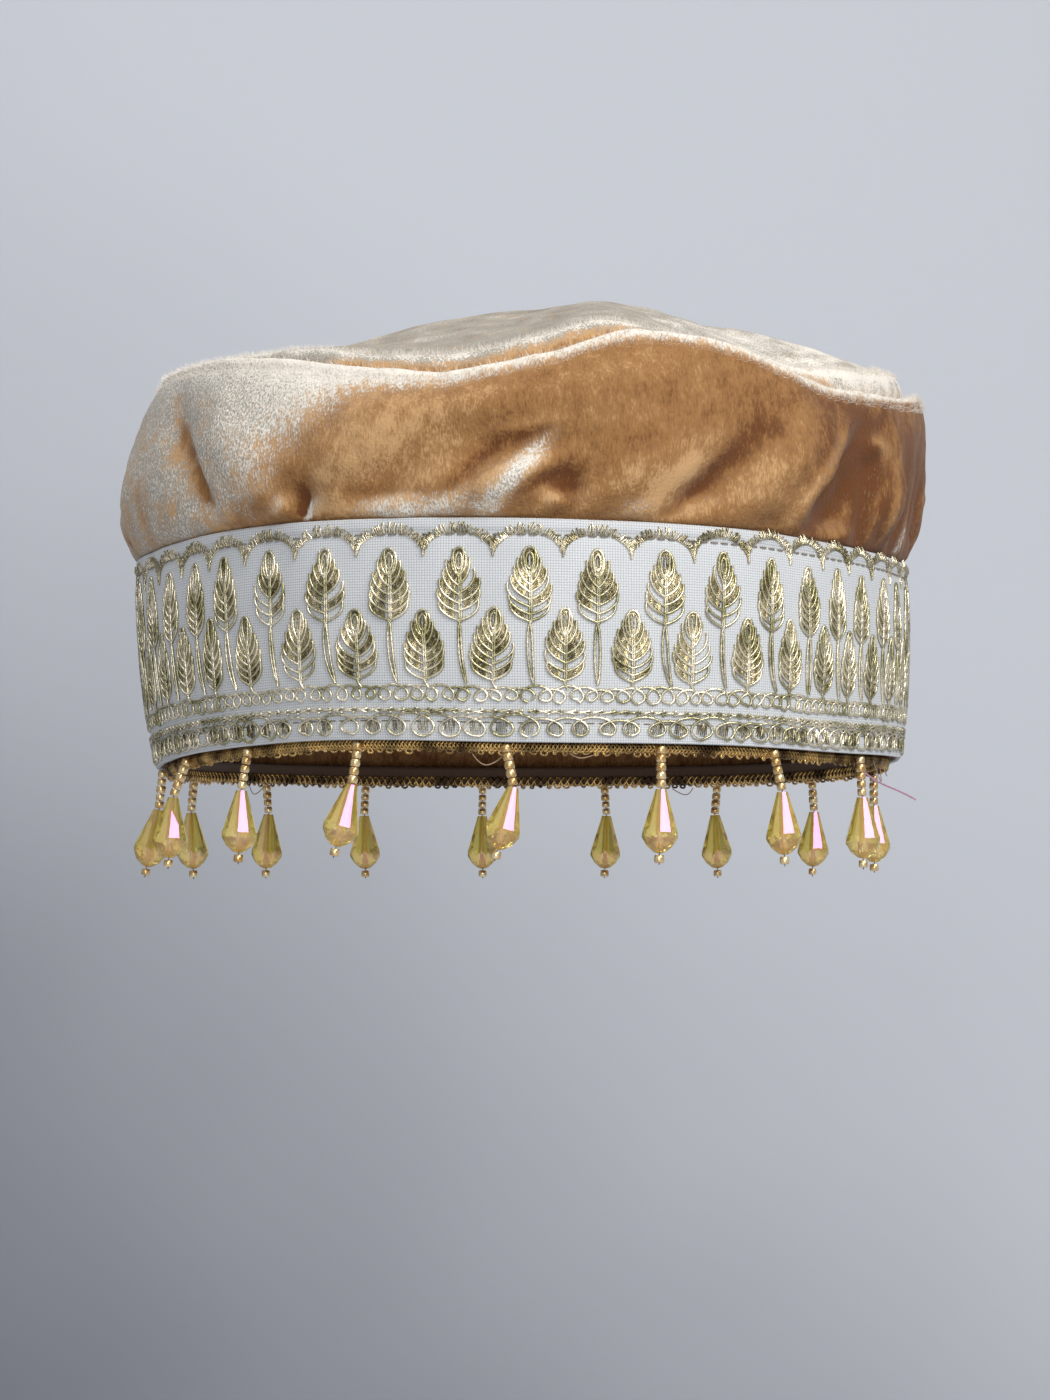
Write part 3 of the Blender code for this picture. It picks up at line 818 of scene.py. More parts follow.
def seed_material(group):
    """Gold-lined glass seed beads."""
    material, graph, target = new_material(
        "seed_gold", Metallic=0.6, Transmission_Weight=0.35, Coat_Weight=1.0, Coat_Roughness=0.03
    )
    grain = use_grain(graph, group, 420.0, 1500.0, 0.5)
    tone = graph.step(grain["Blotch"], 0.35, 0.65)
    graph.feed(target["Base Color"], graph.blend(tone, SEED_PALE, SEED_DEEP))
    graph.feed(target["Roughness"], graph.math("MULTIPLY_ADD", grain["Grain"], 0.2, 0.08))
    return material


def backdrop_material():
    """A wall with painted shade, darker towards its lower left, over a pale floor."""
    material, graph, target = new_material("backdrop", Roughness=0.9, Specular_IOR_Level=0.1)
    where = graph.add("ShaderNodeTexCoord").outputs["Object"]
    axes = graph.add("ShaderNodeSeparateXYZ", {0: where}).outputs
    # Painted light on the wall, falling off towards its lower left
    fall = graph.math("MULTIPLY_ADD", axes["X"], 0.75, axes["Z"])
    light = graph.step(graph.math("MULTIPLY_ADD", graph.noise(where, 2.2), 0.3, fall), -0.72, 0.52)
    wall = graph.blend(light, WALL_SHADED, WALL_LIT)
    above = graph.step(axes["Z"], -0.47, -0.36)
    graph.feed(target["Base Color"], graph.blend(above, FLOOR_PALE, wall))
    return material


# Geometry node trees


def geometry_tree(name, inputs):
    """A tree with a geometry, a material and named inputs. Gives it, its graph and its inputs."""
    tree = bpy.data.node_groups.new(name, "GeometryNodeTree")
    tree.interface.new_socket("Geometry", in_out="OUTPUT", socket_type="NodeSocketGeometry")
    for label, kind in {"Geometry": "Geometry", **inputs, "Material": "Material"}.items():
        tree.interface.new_socket(label, in_out="INPUT", socket_type="NodeSocket" + kind)
    graph = Graph(tree)
    return tree, graph, graph.add("NodeGroupInput").outputs


def close_tree(graph, given, geometry):
    """Ends a tree with real geometry and its material."""
    real = graph.add("GeometryNodeRealizeInstances", {"Geometry": geometry}).outputs["Geometry"]
    inputs = {"Geometry": real, "Material": given["Material"]}
    finish = graph.add("GeometryNodeSetMaterial", inputs).outputs["Geometry"]
    graph.add("NodeGroupOutput", {"Geometry": finish})


def named_value(graph, name, kind):
    node = graph.add("GeometryNodeInputNamedAttribute", {"Name": name}, data_type=kind)
    return node.outputs["Attribute"]


def thread_tree():
    """Sweeps every chain of edges into a round thread with a twist."""
    tree, graph, given = geometry_tree(
        "thread", {"Thread radius": "Float", "Sides": "Int", "Twist pitch": "Float"}
    )
    curve = graph.add("GeometryNodeMeshToCurve", {"Mesh": given["Geometry"]}).outputs["Curve"]
    length = graph.add("GeometryNodeSplineParameter").outputs["Length"]
    turns = graph.math("DIVIDE", length, given["Twist pitch"])
    turn = graph.math("MULTIPLY", turns, 2 * math.pi)
    curve = graph.add("GeometryNodeSetCurveTilt", {"Curve": curve, "Tilt": turn}).outputs["Curve"]
    inputs = {"Curve": curve, "Radius": named_value(graph, "size", "FLOAT")}
    curve = graph.add("GeometryNodeSetCurveRadius", inputs).outputs["Curve"]
    circle = {"Resolution": given["Sides"], "Radius": given["Thread radius"]}
    profile = graph.add("GeometryNodeCurvePrimitiveCircle", circle).outputs["Curve"]
    inputs = {"Curve": curve, "Profile Curve": profile, "Fill Caps": True}
    close_tree(graph, given, graph.add("GeometryNodeCurveToMesh", inputs).outputs["Mesh"])
    return tree


def scatter(graph, given, shape, least, greatest):
    """Ends a tree with a shape on every point, turned along its axis and varied in size."""
    axis = named_value(graph, "axis", "FLOAT_VECTOR")
    turn = graph.add("FunctionNodeAlignRotationToVector", {"Vector": axis}, axis="Z")
    inputs = {2: least, 3: greatest, "Seed": given["Seed"]}
    size = graph.add("FunctionNodeRandomValue", inputs, data_type="FLOAT")
    inputs = {
        "Points": given["Geometry"],
        "Instance": shape,
        "Rotation": turn.outputs["Rotation"],
        "Scale": size.outputs[1],
    }
    close_tree(graph, given, graph.add("GeometryNodeInstanceOnPoints", inputs).outputs["Instances"])


def bead_tree():
    """Sets a bead on every point."""
    tree, graph, given = geometry_tree(
        "seed_beads",
        {"Bead": "Object", "Least size": "Float", "Greatest size": "Float", "Seed": "Int"},
    )
    bead = graph.add("GeometryNodeObjectInfo", {"Object": given["Bead"]}).outputs["Geometry"]
    scatter(graph, given, bead, given["Least size"], given["Greatest size"])
    return tree


def fringe_tree():
    """Sets a short tapered hair on every point."""
    tree, graph, given = geometry_tree(
        "pile_fringe", {"Hair length": "Float", "Hair radius": "Float", "Seed": "Int"}
    )
    inputs = {
        "Vertices": 3,
        "Side Segments": 1,
        "Radius Bottom": given["Hair radius"],
        "Depth": given["Hair length"],
    }
    hair = graph.add("GeometryNodeMeshCone", inputs).outputs["Mesh"]
    scatter(graph, given, hair, 0.5, 1.2)
    return tree


def source_object(name, points, edges=(), **attributes):
    """Bare points and edges for a tree to work on, with numbers or directions on the points."""
    mesh = bpy.data.meshes.new(name)
    mesh.from_pydata(points, list(edges), [])
    for label, values in attributes.items():
        values = np.array(values)
        kind, key = ("FLOAT", "value") if values.ndim == 1 else ("FLOAT_VECTOR", "vector")
        attribute = mesh.attributes.new(label, kind, "POINT")
        attribute.data.foreach_set(key, values.ravel())
    return add_object(name, mesh)


def bake_tree(name, source, tree, inputs):
    """Runs a tree on a source object and keeps its result as a plain mesh object."""
    modifier = source.modifiers.new("build", "NODES")
    modifier.node_group = tree
    for item in tree.interface.items_tree:
        if item.in_out == "INPUT" and item.name in inputs:
            modifier[item.identifier] = inputs[item.name]
    graph = bpy.context.evaluated_depsgraph_get()
    graph.update()
    mesh = bpy.data.meshes.new_from_object(source.evaluated_get(graph), depsgraph=graph)
    mesh.name = name
    source_mesh = source.data
    bpy.data.objects.remove(source)
    bpy.data.meshes.remove(source_mesh)
    return add_object(name, mesh)


Strand = namedtuple("Strand", "points size")


def thread_piece(name, strands, tree, material, look):
    """Threads along strands of points. A strand's size scales its radius. Square ones stay faceted."""
    points, edges, sizes = [], [], []
    for strand in strands:
        start = len(points)
        points.extend(tuple(point) for point in strand.points)
        edges.extend((i, i + 1) for i in range(start, len(points) - 1))
        sizes.extend([strand.size] * len(strand.points))
    source = source_object(name + "_path", points, edges, size=sizes)
    inputs = {"Thread radius": look.radius, "Sides": look.sides, "Twist pitch": look.twist}
    piece = bake_tree(name, source, tree, {**inputs, "Material": material})
    if look.sides > 4:
        piece.data.shade_smooth()
    return piece


# Cloth pieces


def side_nap_sheen(bearing, height):
    """Painted sheen on the side: where its pile turns silver at the left, at the back and in patches."""
    turn = np.mod(bearing + 180, 360) - 180
    lean = turn - (height - 60 * MM) * 420.0
    left = (1.0 - smoothstep(-48, -30, lean)) * smoothstep(-175, -125, turn)
    back = smoothstep(120, 150, np.abs(turn)) * 0.3
    return 0.85 * left + back + fold_offset(PAINTED_SHEEN_PATCHES, bearing, height)


def gathers(bearing, share):
    """Small pleats where the velvet is gathered into the band."""
    angle = np.radians(bearing)
    wave = np.sin(47 * angle + 2.0 * np.sin(5 * angle)) * (0.6 + 0.4 * np.sin(9 * angle + 1.0))
    return 0.4 * MM * wave * smoothstep(0.0, 0.05, share) * (1.0 - smoothstep(0.1, 0.42, share))


def grid_normals(grid):
    """Outward normals of a closed grid of rings."""
    around = np.roll(grid, -1, axis=1) - np.roll(grid, 1, axis=1)
    upward = np.gradient(grid, axis=0)
    normals = np.cross(around, upward)
    return normals / np.maximum(np.linalg.norm(normals, axis=2), 1e-12)[:, :, None]


def soften(grid, passes):
    """Averages each cell with its neighbours, again and again."""
    for _ in range(passes):
        beside = np.roll(grid, 1, axis=1) + np.roll(grid, -1, axis=1)
        padded = np.concatenate([grid[:1], grid, grid[-1:]])
        grid = (beside + padded[:-2] + padded[2:] + 2 * grid) / 6
    return grid


def ruffle(grid, normals, waves, seed):
    """Moves a grid along its normals by soft noises, each with a scale and a depth."""
    moved = grid.copy()
    for row, column in np.ndindex(grid.shape[:2]):
        point = Vector(grid[row, column])
        offset = 0
        for scale, depth in waves:
            offset += noise.noise(point * scale + Vector((seed, 0, scale))) * depth
        moved[row, column] += normals[row, column] * offset
    return moved


def slope_to_light(grid):
    """How far folds turn the cloth up and to the left of its even shape, and how far it sinks below its
    softened shape, for painted sheen and shade.
    """
    normals = grid_normals(grid)
    tilt = normals - soften(normals, 30)
    along = np.roll(grid, -1, axis=1) - np.roll(grid, 1, axis=1)
    along = along / np.linalg.norm(along, axis=2)[:, :, None]
    slope = 0.7 * tilt[:, :, 2] - 0.7 * (tilt * along).sum(axis=2)
    depth = ((soften(grid, 26) - grid) * normals).sum(axis=2)
    return slope, depth


def clouds(grid, scale, seed):
    """Soft noise from about -0.5 to 0.5 at every point of a grid."""
    values = np.zeros(grid.shape[:2])
    for row, column in np.ndindex(values.shape):
        values[row, column] = noise.noise(Vector(grid[row, column]) * scale + Vector((seed, 0, 0)))
    return values


def set_pile(obj, **values):
    """The pile's attributes: the turned pile and painted sheen that make it silver, painted white sheen,
    and painted shade that makes it dark.
    """
    for name, grid in values.items():
        attribute = obj.data.attributes.new(name, "FLOAT", "POINT")
        attribute.data.foreach_set("value", np.resize(grid.ravel(), len(obj.data.vertices)))


def side_grid(bearing):
    """Rings of the velvet side: those behind the ribbon, and those from its edge to the groove."""
    hidden, shown = [], []
    for share in (0.0, 0.25, 0.5, 0.75, 1.0):
        height = band_height(bearing, share)
        if share == 0.0:
            height = height + VELVET_HEM
        radius = band_radius(bearing, height) - (BAND_THICKNESS + SEWN_GAP)
        hidden.append(place(bearing, radius, height))
    for share in np.linspace(0.015, 1.0, SIDE_ROWS):
        radius, height = side_surface(bearing, share)
        shown.append(place(bearing, radius + gathers(bearing, share), height))
    for angle in np.radians((22.5, 45, 67.5, 90)):
        inset = RIDGE_INSET * (1 - math.cos(angle))
        shown.append(seam_line(bearing, inset, -SHOULDER_DROP * (1 - math.sin(angle))))
    for angle in np.radians((30, 60, 90)):
        inset = RIDGE_INSET + (GROOVE_INSET - RIDGE_INSET) * math.sin(angle)
        shown.append(seam_line(bearing, inset, -GROOVE_DROP * (1 - math.cos(angle))))
    return hidden, np.array(shown)


def side_pile(grid, bearing):
    """The turned pile with its painted sheen, the painted white sheen and the painted shade of the side
    at every point of its grid.
    """
    slope, depth = slope_to_light(grid)
    height = grid[:, :, 2]
    below = seam_height(bearing)[None, :] - height
    turn = np.broadcast_to(bearing, below.shape)
    signed = np.mod(turn + 180, 360) - 180
    # Painted sheen along the seam's ridge, wider at the left and narrower at the right
    sheen_width = SEAM_SHEEN_WIDTH + LEFT_SEAM_SHEEN_WIDTH * np.exp(-(((np.mod(turn + 230, 360) - 180) / 36) ** 2))
    sheen_width = sheen_width * (1.0 - 0.55 * plateau(50, 75, 120, 150, signed))
    rim = np.exp(-((np.maximum(below - 0.3 * MM, 0.0) / sheen_width) ** 2))
    calm = 1.0 - 0.85 * plateau(-34, -18, 100, 130, signed)
    left = 1.0 - smoothstep(-52, -30, signed)
    # Painted sheen: the side's silver, more on folds that face up and to the left, and on the ridge
    nap = side_nap_sheen(turn, height) + 1.6 * slope * calm + rim
    nap = nap + left * (0.35 * clouds(grid, 110.0, 5.0) + 0.35 * clouds(grid, 260.0, 6.0))
    nap[-2:] = 0.3
    # Painted white sheen, more on the ridge and on folds that face the light, less at the left
    frost = 0.7 - 0.32 * left + 0.4 * rim + 0.6 * slope
    # Painted shade: darker on the right of the front, more so further below the seam, darker in hollows
    # and lighter on folds that face the light
    shaded = plateau(16, 60, 80, 115, signed) * (0.32 + 0.44 * smoothstep(6 * MM, 20 * MM, below))
    hollow = 0.45 + np.clip(depth / (2.0 * MM), -0.4, 1.0) - 0.8 * slope * (1.0 - calm) + shaded
    return nap, frost, hollow + fold_offset(PAINTED_SHADE_PATCHES, turn, height)


def make_velvet_side(material):
    """The side, and the rows of its ridge with their normals."""
    bearing = all_bearings(VELVET_SEGMENTS)
    hidden, grid = side_grid(bearing)
    nap, frost, hollow = side_pile(grid, bearing)
    grid = ruffle(grid, grid_normals(grid), SIDE_RUFFLES, 3.0)
    obj = ring_mesh("velvet_side", [*hidden, *grid], material)
    plain = np.zeros((len(hidden), VELVET_SEGMENTS))
    set_pile(
        obj,
        nap=np.concatenate([plain, nap]),
        frost=np.concatenate([plain + 0.4, frost]),
        hollow=np.concatenate([plain + 0.6, hollow]),
    )
    thicken(obj, VELVET_THICKNESS)
    ridge = slice(SIDE_ROWS - 3, SIDE_ROWS + 4)
    return obj, (grid[ridge], grid_normals(grid)[ridge])


def top_grid(bearing):
    """Rings of the top panel: the roll beside the seam, then inwards to its peak."""
    start = GROOVE_INSET + SEWN_GAP
    rise = seam_roll(bearing) + GROOVE_DROP
    rings = []
    for angle in np.radians((0, 20, 40, 60, 78)):
        inset = start + (CREST_INSET - start) * (1 - math.cos(angle))
        rings.append(seam_line(bearing, inset, rise * math.sin(angle) - GROOVE_DROP))
    for share in np.linspace(1.0, 0.03, TOP_ROWS):
        rings.append(top_surface(bearing, share))
    return np.array(rings)


def top_pile(grid, bearing):
    """The turned pile with its painted sheen, the painted white sheen and the painted shade of the top
    at every point of its grid.
    """
    slope, depth = slope_to_light(grid)
    turn = np.broadcast_to(np.mod(bearing + 180, 360) - 180, depth.shape)
    reach = np.linalg.norm(grid[:, :, :2], axis=2) / RIM_RADIUS
    crest = np.exp(-(((np.arange(len(grid))[:, None] - 3.8) / 1.9) ** 2))
    right = plateau(4, 48, 90, 150, turn) * smoothstep(0.15, 0.75, reach)
    # The whole top gets painted silver sheen, more on its crest, its right and on folds that face the
    # light
    nap = 0.95 + 0.15 * right + 0.25 * crest + 0.8 * slope
    open_left = plateau(-34, -26, 14, 20, turn)
    open_right = plateau(32, 38, 48, 54, turn)
    away = smoothstep(100, 130, np.abs(turn))
    closed = 1.0 - np.maximum(np.maximum(open_left, open_right), away)
    nap[:3] = np.array((0.0, 0.05, 0.45))[:, None] + 0.9 * closed[:3]
    # Painted white sheen on the crest, the right of the top and folds that face the light, in soft
    # clouds
    frost = 0.05 + 0.5 * right + 0.6 * crest + 0.5 * slope
    frost = frost + 0.3 * clouds(grid, 95.0, 2.0) + 0.45 * clouds(grid, 240.0, 4.0)
    # Painted shade in the top's hollows
    return nap, frost, 0.45 + depth / (2.2 * MM)


def make_velvet_top(material):
    """The top panel, and the rows of its crest with their normals."""
    bearing = all_bearings(VELVET_SEGMENTS)
    grid = top_grid(bearing)
    nap, frost, hollow = top_pile(grid, bearing)
    grid = ruffle(grid, grid_normals(grid), TOP_RUFFLES, 9.0)
    obj = ring_mesh("velvet_top", grid, material, grid[-1].mean(axis=0))
    set_pile(obj, nap=nap, frost=frost, hollow=hollow)
    thicken(obj, VELVET_THICKNESS)
    return obj, (grid[3:8], grid_normals(grid)[3:8])


def make_pile_fringe(rng, rims, tree, material):
    """Hairs, pale with painted sheen, that stand off the ridges of the seam. Each rim is a band of grid
    rows with its normals.
    """
    places, axes = [], []
    for rows, normals in rims:
        count = rows.shape[1]
        for _ in range(HAIRS // len(rims)):
            row, column = rng.uniform(0, rows.shape[0] - 1.001), rng.uniform(0, count)
            low, left = int(row), int(column) % count
            up, along = row - low, column - int(column)
            beside = (left + 1) % count
            first = rows[low, left] * (1 - along) + rows[low, beside] * along
            second = rows[low + 1, left] * (1 - along) + rows[low + 1, beside] * along
            out = Vector(normals[low, left])
            places.append(tuple(Vector(first * (1 - up) + second * up) - out * 0.2 * MM))
            sway = Vector([rng.uniform(-0.6, 0.6) for _ in range(3)])
            axes.append(tuple((out + sway).normalized()))
    source = source_object("hair_places", places, axis=axes)
    inputs = {"Hair length": HAIR_LENGTH, "Hair radius": HAIR_RADIUS, "Seed": 2}
    return bake_tree("pile_fringe", source, tree, {**inputs, "Material": material})


def ribbon_lift(bearing, height):
    """How far the ribbon's face stands off its even curve: hems, pulled stitches, soft waves."""
    lift = HEM_LIFT * plateau(HEM_FROM, HEM_FROM + 0.8 * MM, HEM_TO, 48.2 * MM, height)
    for line in STITCH_LINES:
        lift = lift - 0.25 * MM * np.exp(-(((height - line.height * MM) / (0.5 * MM)) ** 2))
    angle = np.radians(bearing)
    waves = np.sin(11 * angle + 40 * height) + 0.6 * np.sin(23 * angle + 1.3)
    waves = waves + 0.5 * np.sin(37 * angle + 95 * height)
    return lift + 0.16 * MM * waves


def on_ribbon(bearing, flat_height, lift):
    """A point of the ribbon's face, lifted off it, from its bearing and its height when flat."""
    share = flat_height / BAND_HEIGHT
    height = band_height(bearing, share)
    radius = band_radius(bearing, height) + ribbon_lift(bearing, flat_height)
    return place(bearing, radius + lift, height)


def make_ribbon(material):
    bearing = all_bearings(RIBBON_SEGMENTS)
    heights = np.concatenate([
        [0.0, 0.4 * MM],
        np.arange(1.0, 44.1, 1.0) * MM,
        np.array([44.6, 45.0, 45.4, 45.8, 46.3, 46.9, 47.4, 47.7, 48.0]) * MM,
    ])
    rings = [on_ribbon(bearing, height, 0.0) for height in heights]
    obj = ring_mesh("ribbon", rings, material)
    add_ring_uv(obj, RIBBON_SEGMENTS, heights)
    thicken(obj, BAND_THICKNESS)
    return obj


# Embroidery, drawn flat in millimetres and laid on the ribbon


def count_repeats():
    """Bearings round the band, with the number of repeats up to each, a whole number in all."""
    bearings = np.arange(0.0, 360.25, 0.5)
    steps = 0.5 / closed_curve(REPEAT_PITCHES, "degrees")(bearings[:-1] + 0.25)
    counts = np.concatenate([[0.0], np.cumsum(steps)])
    return bearings, counts * round(counts[-1]) / counts[-1]


REPEAT_BEARINGS, REPEAT_COUNTS = count_repeats()
REPEATS = round(REPEAT_COUNTS[-1])


def repeat_bearing(number):
    """The bearing of a repeat, also of a part of one."""
    turns = np.floor_divide(number, REPEATS)
    return np.interp(number - turns * REPEATS, REPEAT_COUNTS, REPEAT_BEARINGS) + 360.0 * turns


def repeat_width(number):
    """The room that a repeat has along the ribbon, in millimetres."""
    return math.radians(repeat_bearing(number + 0.5) - repeat_bearing(number - 0.5)) * FLAT_RADIUS


def to_bearing(along):
    return np.degrees(along / FLAT_RADIUS)


def lay(flat, centre_bearing, lift):
    """Flat points, in millimetres from a bearing, as points on the ribbon."""
    flat = np.asarray(flat, dtype=float)
    return on_ribbon(centre_bearing + to_bearing(flat[:, 0]), flat[:, 1] * MM, lift * MM)


def leaf_half_width(share):
    """A leaf's half width as a share of its greatest, from its base at 0 to its tip at 1."""
    return max(math.sin(math.pi * min(max(share, 0.0), 1.0) ** 0.68), 0.0) ** 0.8


def vein(side, width, low, high, steps=8):
    """One vein: out from the midrib and up to the leaf's edge."""
    line = []
    for t in np.linspace(0.0, 1.0, steps):
        rise = 0.5 * t + 0.5 * (1 - math.cos(t * math.pi / 2))
        line.append((side * width * math.sin(t * math.pi / 2), low + (high - low) * rise))
    return line


def between(lower, upper, share, rng):
    """A loose zigzag part of the way from one vein to the next."""
    line = []
    for step, (a, b) in enumerate(zip(lower[1:], upper[1:])):
        sway = 0.28 if step % 2 else -0.28
        x = a[0] + (b[0] - a[0]) * share + rng.uniform(-0.12, 0.12)
        y = a[1] + (b[1] - a[1]) * share + sway * rng.uniform(0.5, 1.3)
        line.append((x, y))
    return line


def leaf_veins(rng, side, height, half, lean, count):
    """The veins on one side of a leaf, from its base up."""
    offset = rng.uniform(-0.02, 0.02)
    veins = []
    for number in range(count):
        place_up = number / (count - 1)
        low = height * (0.60 * place_up + offset * (number > 0))
        high = low + height * (0.22 + 0.10 * place_up) * rng.uniform(0.94, 1.06)
        span = half * leaf_half_width(high / height) * rng.uniform(0.95, 1.05)
        line = vein(side, span, low, high)
        veins.append([(x + lean * (y / height) ** 2, y) for x, y in line])
    return veins


def leaf_tip(rng, height, width, lean):
    """The loop at a leaf's tip, often with a smaller one inside, and its filling."""
    reach_out = rng.uniform(0.15, 0.2) * width
    middle, reach_up = TIP_MIDDLE * height, TIP_REACH * height
    twist = rng.uniform(-0.6, 0.6)
    loop = []
    for t in np.linspace(-0.5 * math.pi, 1.5 * math.pi, 15):
        y = middle + reach_up * math.sin(t)
        loop.append((reach_out * math.cos(t) + lean + twist * (y / height - 0.63), y))
    main, filling = [loop], []
    if rng.random() < 0.6:
        main.append([(x * 0.45 + lean * 0.5, middle + (y - middle) * 0.62) for x, y in loop])
    for share in (0.2, 0.7):
        filling.append([(lean + (x - lean) * share, middle + (y - middle) * 0.8) for x, y in loop])
    return main, filling


def leaf_lines(rng, height, width, fullness):
    """A leaf's main threads and its filling stitches, flat, with its base at 0, 0."""
    lean = rng.uniform(-0.5, 0.5)
    count = rng.choice((6, 7))
    main, filling = [], []
    for aside in (0.0, 0.42):
        main.append([(lean * s * s + aside, height * s * 0.74) for s in np.linspace(-0.03, 1.0, 9)])
    for side in (-1, 1):
        veins = leaf_veins(rng, side, height, width / 2, lean, count)
        for line in veins:
            x, y = line[-1]
            tail = (x - side * rng.uniform(0.0, 0.25), y + height * rng.uniform(0.03, 0.07))
            main.append([*line, tail])
        for number, (lower, upper) in enumerate(zip(veins, veins[1:])):
            if rng.random() > fullness * (0.4 + 0.9 * number / count):
                continue
            for share in (0.22, 0.42, 0.62, 0.82):
                filling.append(between(lower, upper, share, rng))
    tip_main, tip_filling = leaf_tip(rng, height, width, lean)
    return main + tip_main, filling + tip_filling


def leaf_stem(rng, kind):
    """A tall leaf's two stem threads, or a low leaf's short one."""
    # Drawn for both kinds, so that the draws keep their order
    foot = rng.uniform(0.2, 2.6)
    if kind.name == "low":
        return [[(0.9 * s * s, -LOW_STEM * s) for s in np.linspace(0.0, 1.0, 4)]]
    spread = rng.uniform(0.3, 0.7)
    stems = []
    for side in (-1, 1):
        line = []
        for s in np.linspace(0.0, 1.0, 11):
            line.append((side * spread * math.sin(math.pi * s) ** 0.6 + foot * s**3, -TALL_STEM * s))
        stems.append(line)
    return stems


def shift(line, x, y):
    return [(a + x, b + y) for a, b in line]


def leaf_work(rng):
    """Strands of all leaves with their stems, and of their filling, by kind of leaf."""
    work = {"tall_leaves": [], "low_leaves": [], "tall_filling": [], "low_filling": []}
    for repeat in range(REPEATS):
        for kind in LEAF_KINDS:
            room = repeat_width(repeat + kind.offset)
            aside = to_bearing(rng.uniform(-0.35, 0.35))
            centre = float(repeat_bearing(repeat + kind.offset)) + aside
            height = rng.uniform(kind.least_height, kind.greatest_height)
            width = room * rng.uniform(0.58, 0.63)
            crowded = 1.0 - float(smoothstep(11.5, 14.5, room))
            fullness = rng.uniform(0.75, 1.25) + 0.6 * crowded
            lines, fills = leaf_lines(rng, height, width, fullness)
            for line in lines + leaf_stem(rng, kind):
                points = lay(shift(line, 0.0, kind.base), centre, 0.26 + rng.uniform(0.0, 0.12))
                work[kind.name + "_leaves"].append(Strand(points, 1.0))
            for line in fills:
                points = lay(shift(line, 0.0, kind.base), centre, 0.14)
                work[kind.name + "_filling"].append(Strand(points, rng.uniform(0.8, 1.3)))
    return work


def loop_row(rng, row):
    """One long thread of round loops along the band."""
    count = round(REPEATS / row.share)
    bearings, heights = [], []
    for loop in range(count):
        size = rng.uniform(0.82, 1.14)
        drift, rise = rng.uniform(-0.35, 0.35), rng.uniform(-0.5, 0.3)
        for step in range(row.steps):
            t = 2 * math.pi * step / row.steps
            aside = to_bearing(row.swing * size * math.sin(t))
            bearings.append(repeat_bearing((loop + step / row.steps) * REPEATS / count) - aside)
            sway = drift * (1 + math.cos(t)) / 2 + rise * (1 - math.cos(t)) / 2
            heights.append(row.middle + sway - row.reach * size * math.cos(t))
    return Strand(on_ribbon(np.array(bearings), np.array(heights) * MM, row.lift * MM), 1.0)


def loop_fill(rng, row):
    """Satin stitches inside each loop of a row."""
    count = round(REPEATS / row.share)
    strands = []
    for loop in range(count):
        if rng.random() < 0.12:
            continue
        centre = float(repeat_bearing(loop * REPEATS / count))
        flat = []
        for step, x in enumerate(np.linspace(-0.74, 0.74, 12)):
            tall = LOOP_FILLING_REACH * math.sqrt(1 - x * x) * rng.uniform(0.6, 0.85)
            y = row.middle - 0.2 + (tall if step % 2 else -tall)
            flat.append((x * LOOP_FILLING_REACH * 0.9, y))
        strands.append(Strand(lay(flat, centre, 0.14), rng.uniform(0.9, 1.2)))
    return strands


def joining_line(rng, row, phase):
    """A thread that swings from the top of each of a row's loops to the next."""
    count = round(REPEATS / row.share)
    bearings, heights = [], []
    for step in range(count * 8):
        t = step / 8
        aside = to_bearing(math.sin(4 * math.pi * t))
        bearings.append(repeat_bearing(t * REPEATS / count) + aside)
        sway = 0.5 * math.sin(2 * math.pi * t + phase)
        heights.append(JOINING_HEIGHT + sway + rng.uniform(-0.12, 0.12))
    return Strand(on_ribbon(np.array(bearings), np.array(heights) * MM, 0.25 * MM), 1.0)


def arch_stitch(rng, stitch, half, foot, centre):
    """A short stitch that stands on an arch."""
    t = math.pi * (stitch + rng.uniform(0.1, 0.9)) / ARCH_STITCHES
    x, y = -half * math.cos(t), foot + ARCH_RISE * math.sin(t)
    lean = math.atan2(half * math.sin(t), -ARCH_RISE * 1.6 * math.cos(t)) + rng.uniform(-0.5, 0.5)
    length = rng.uniform(1.2, 2.1) * (0.65 + 0.35 * math.sin(t))
    end_x = max(-half, min(half, x + length * math.cos(lean)))
    end_y = y + length * abs(math.sin(lean)) + 0.3
    flat = [(x, y), ((x + end_x) / 2, (y + end_y) / 2), (end_x, end_y)]
    points = lay(flat, centre, 0.15)
    points[1] = lay(flat[1:2], centre, 0.4)[0]
    return Strand(points, rng.uniform(0.75, 1.1))


def point_stitch(rng, stitch, half, foot, centre):
    """A short upright stitch in the point where two arches meet."""
    side = 1 if stitch % 2 else -1
    t = math.pi * rng.uniform(0.03, 0.27)
    edge = half * math.cos(t)
    x = side * (edge + (half - edge) * rng.random())
    y = foot - 0.5 + ARCH_RISE * math.sin(t)
    flat = [(x, y), (x + rng.uniform(-0.3, 0.3), y + rng.uniform(0.8, 1.5))]
    return Strand(lay(flat, centre, rng.uniform(0.12, 0.3)), rng.uniform(0.9, 1.3))


def arch_work(rng):
    """Stitches along a row of arches, closing to points between the leaves."""
    strands = []
    for repeat in range(REPEATS):
        half = repeat_width(repeat) / 2
        centre = float(repeat_bearing(repeat - 0.5) + repeat_bearing(repeat + 0.5)) / 2
        foot = ARCH_FOOT + ARCH_LIFT * float(plateau(18, 38, 90, 120, centre))
        for stitch in range(ARCH_STITCHES):
            strands.append(arch_stitch(rng, stitch, half, foot, centre))
        for stitch in range(POINT_STITCHES):
            strands.append(point_stitch(rng, stitch, half, foot, centre))
    return strands


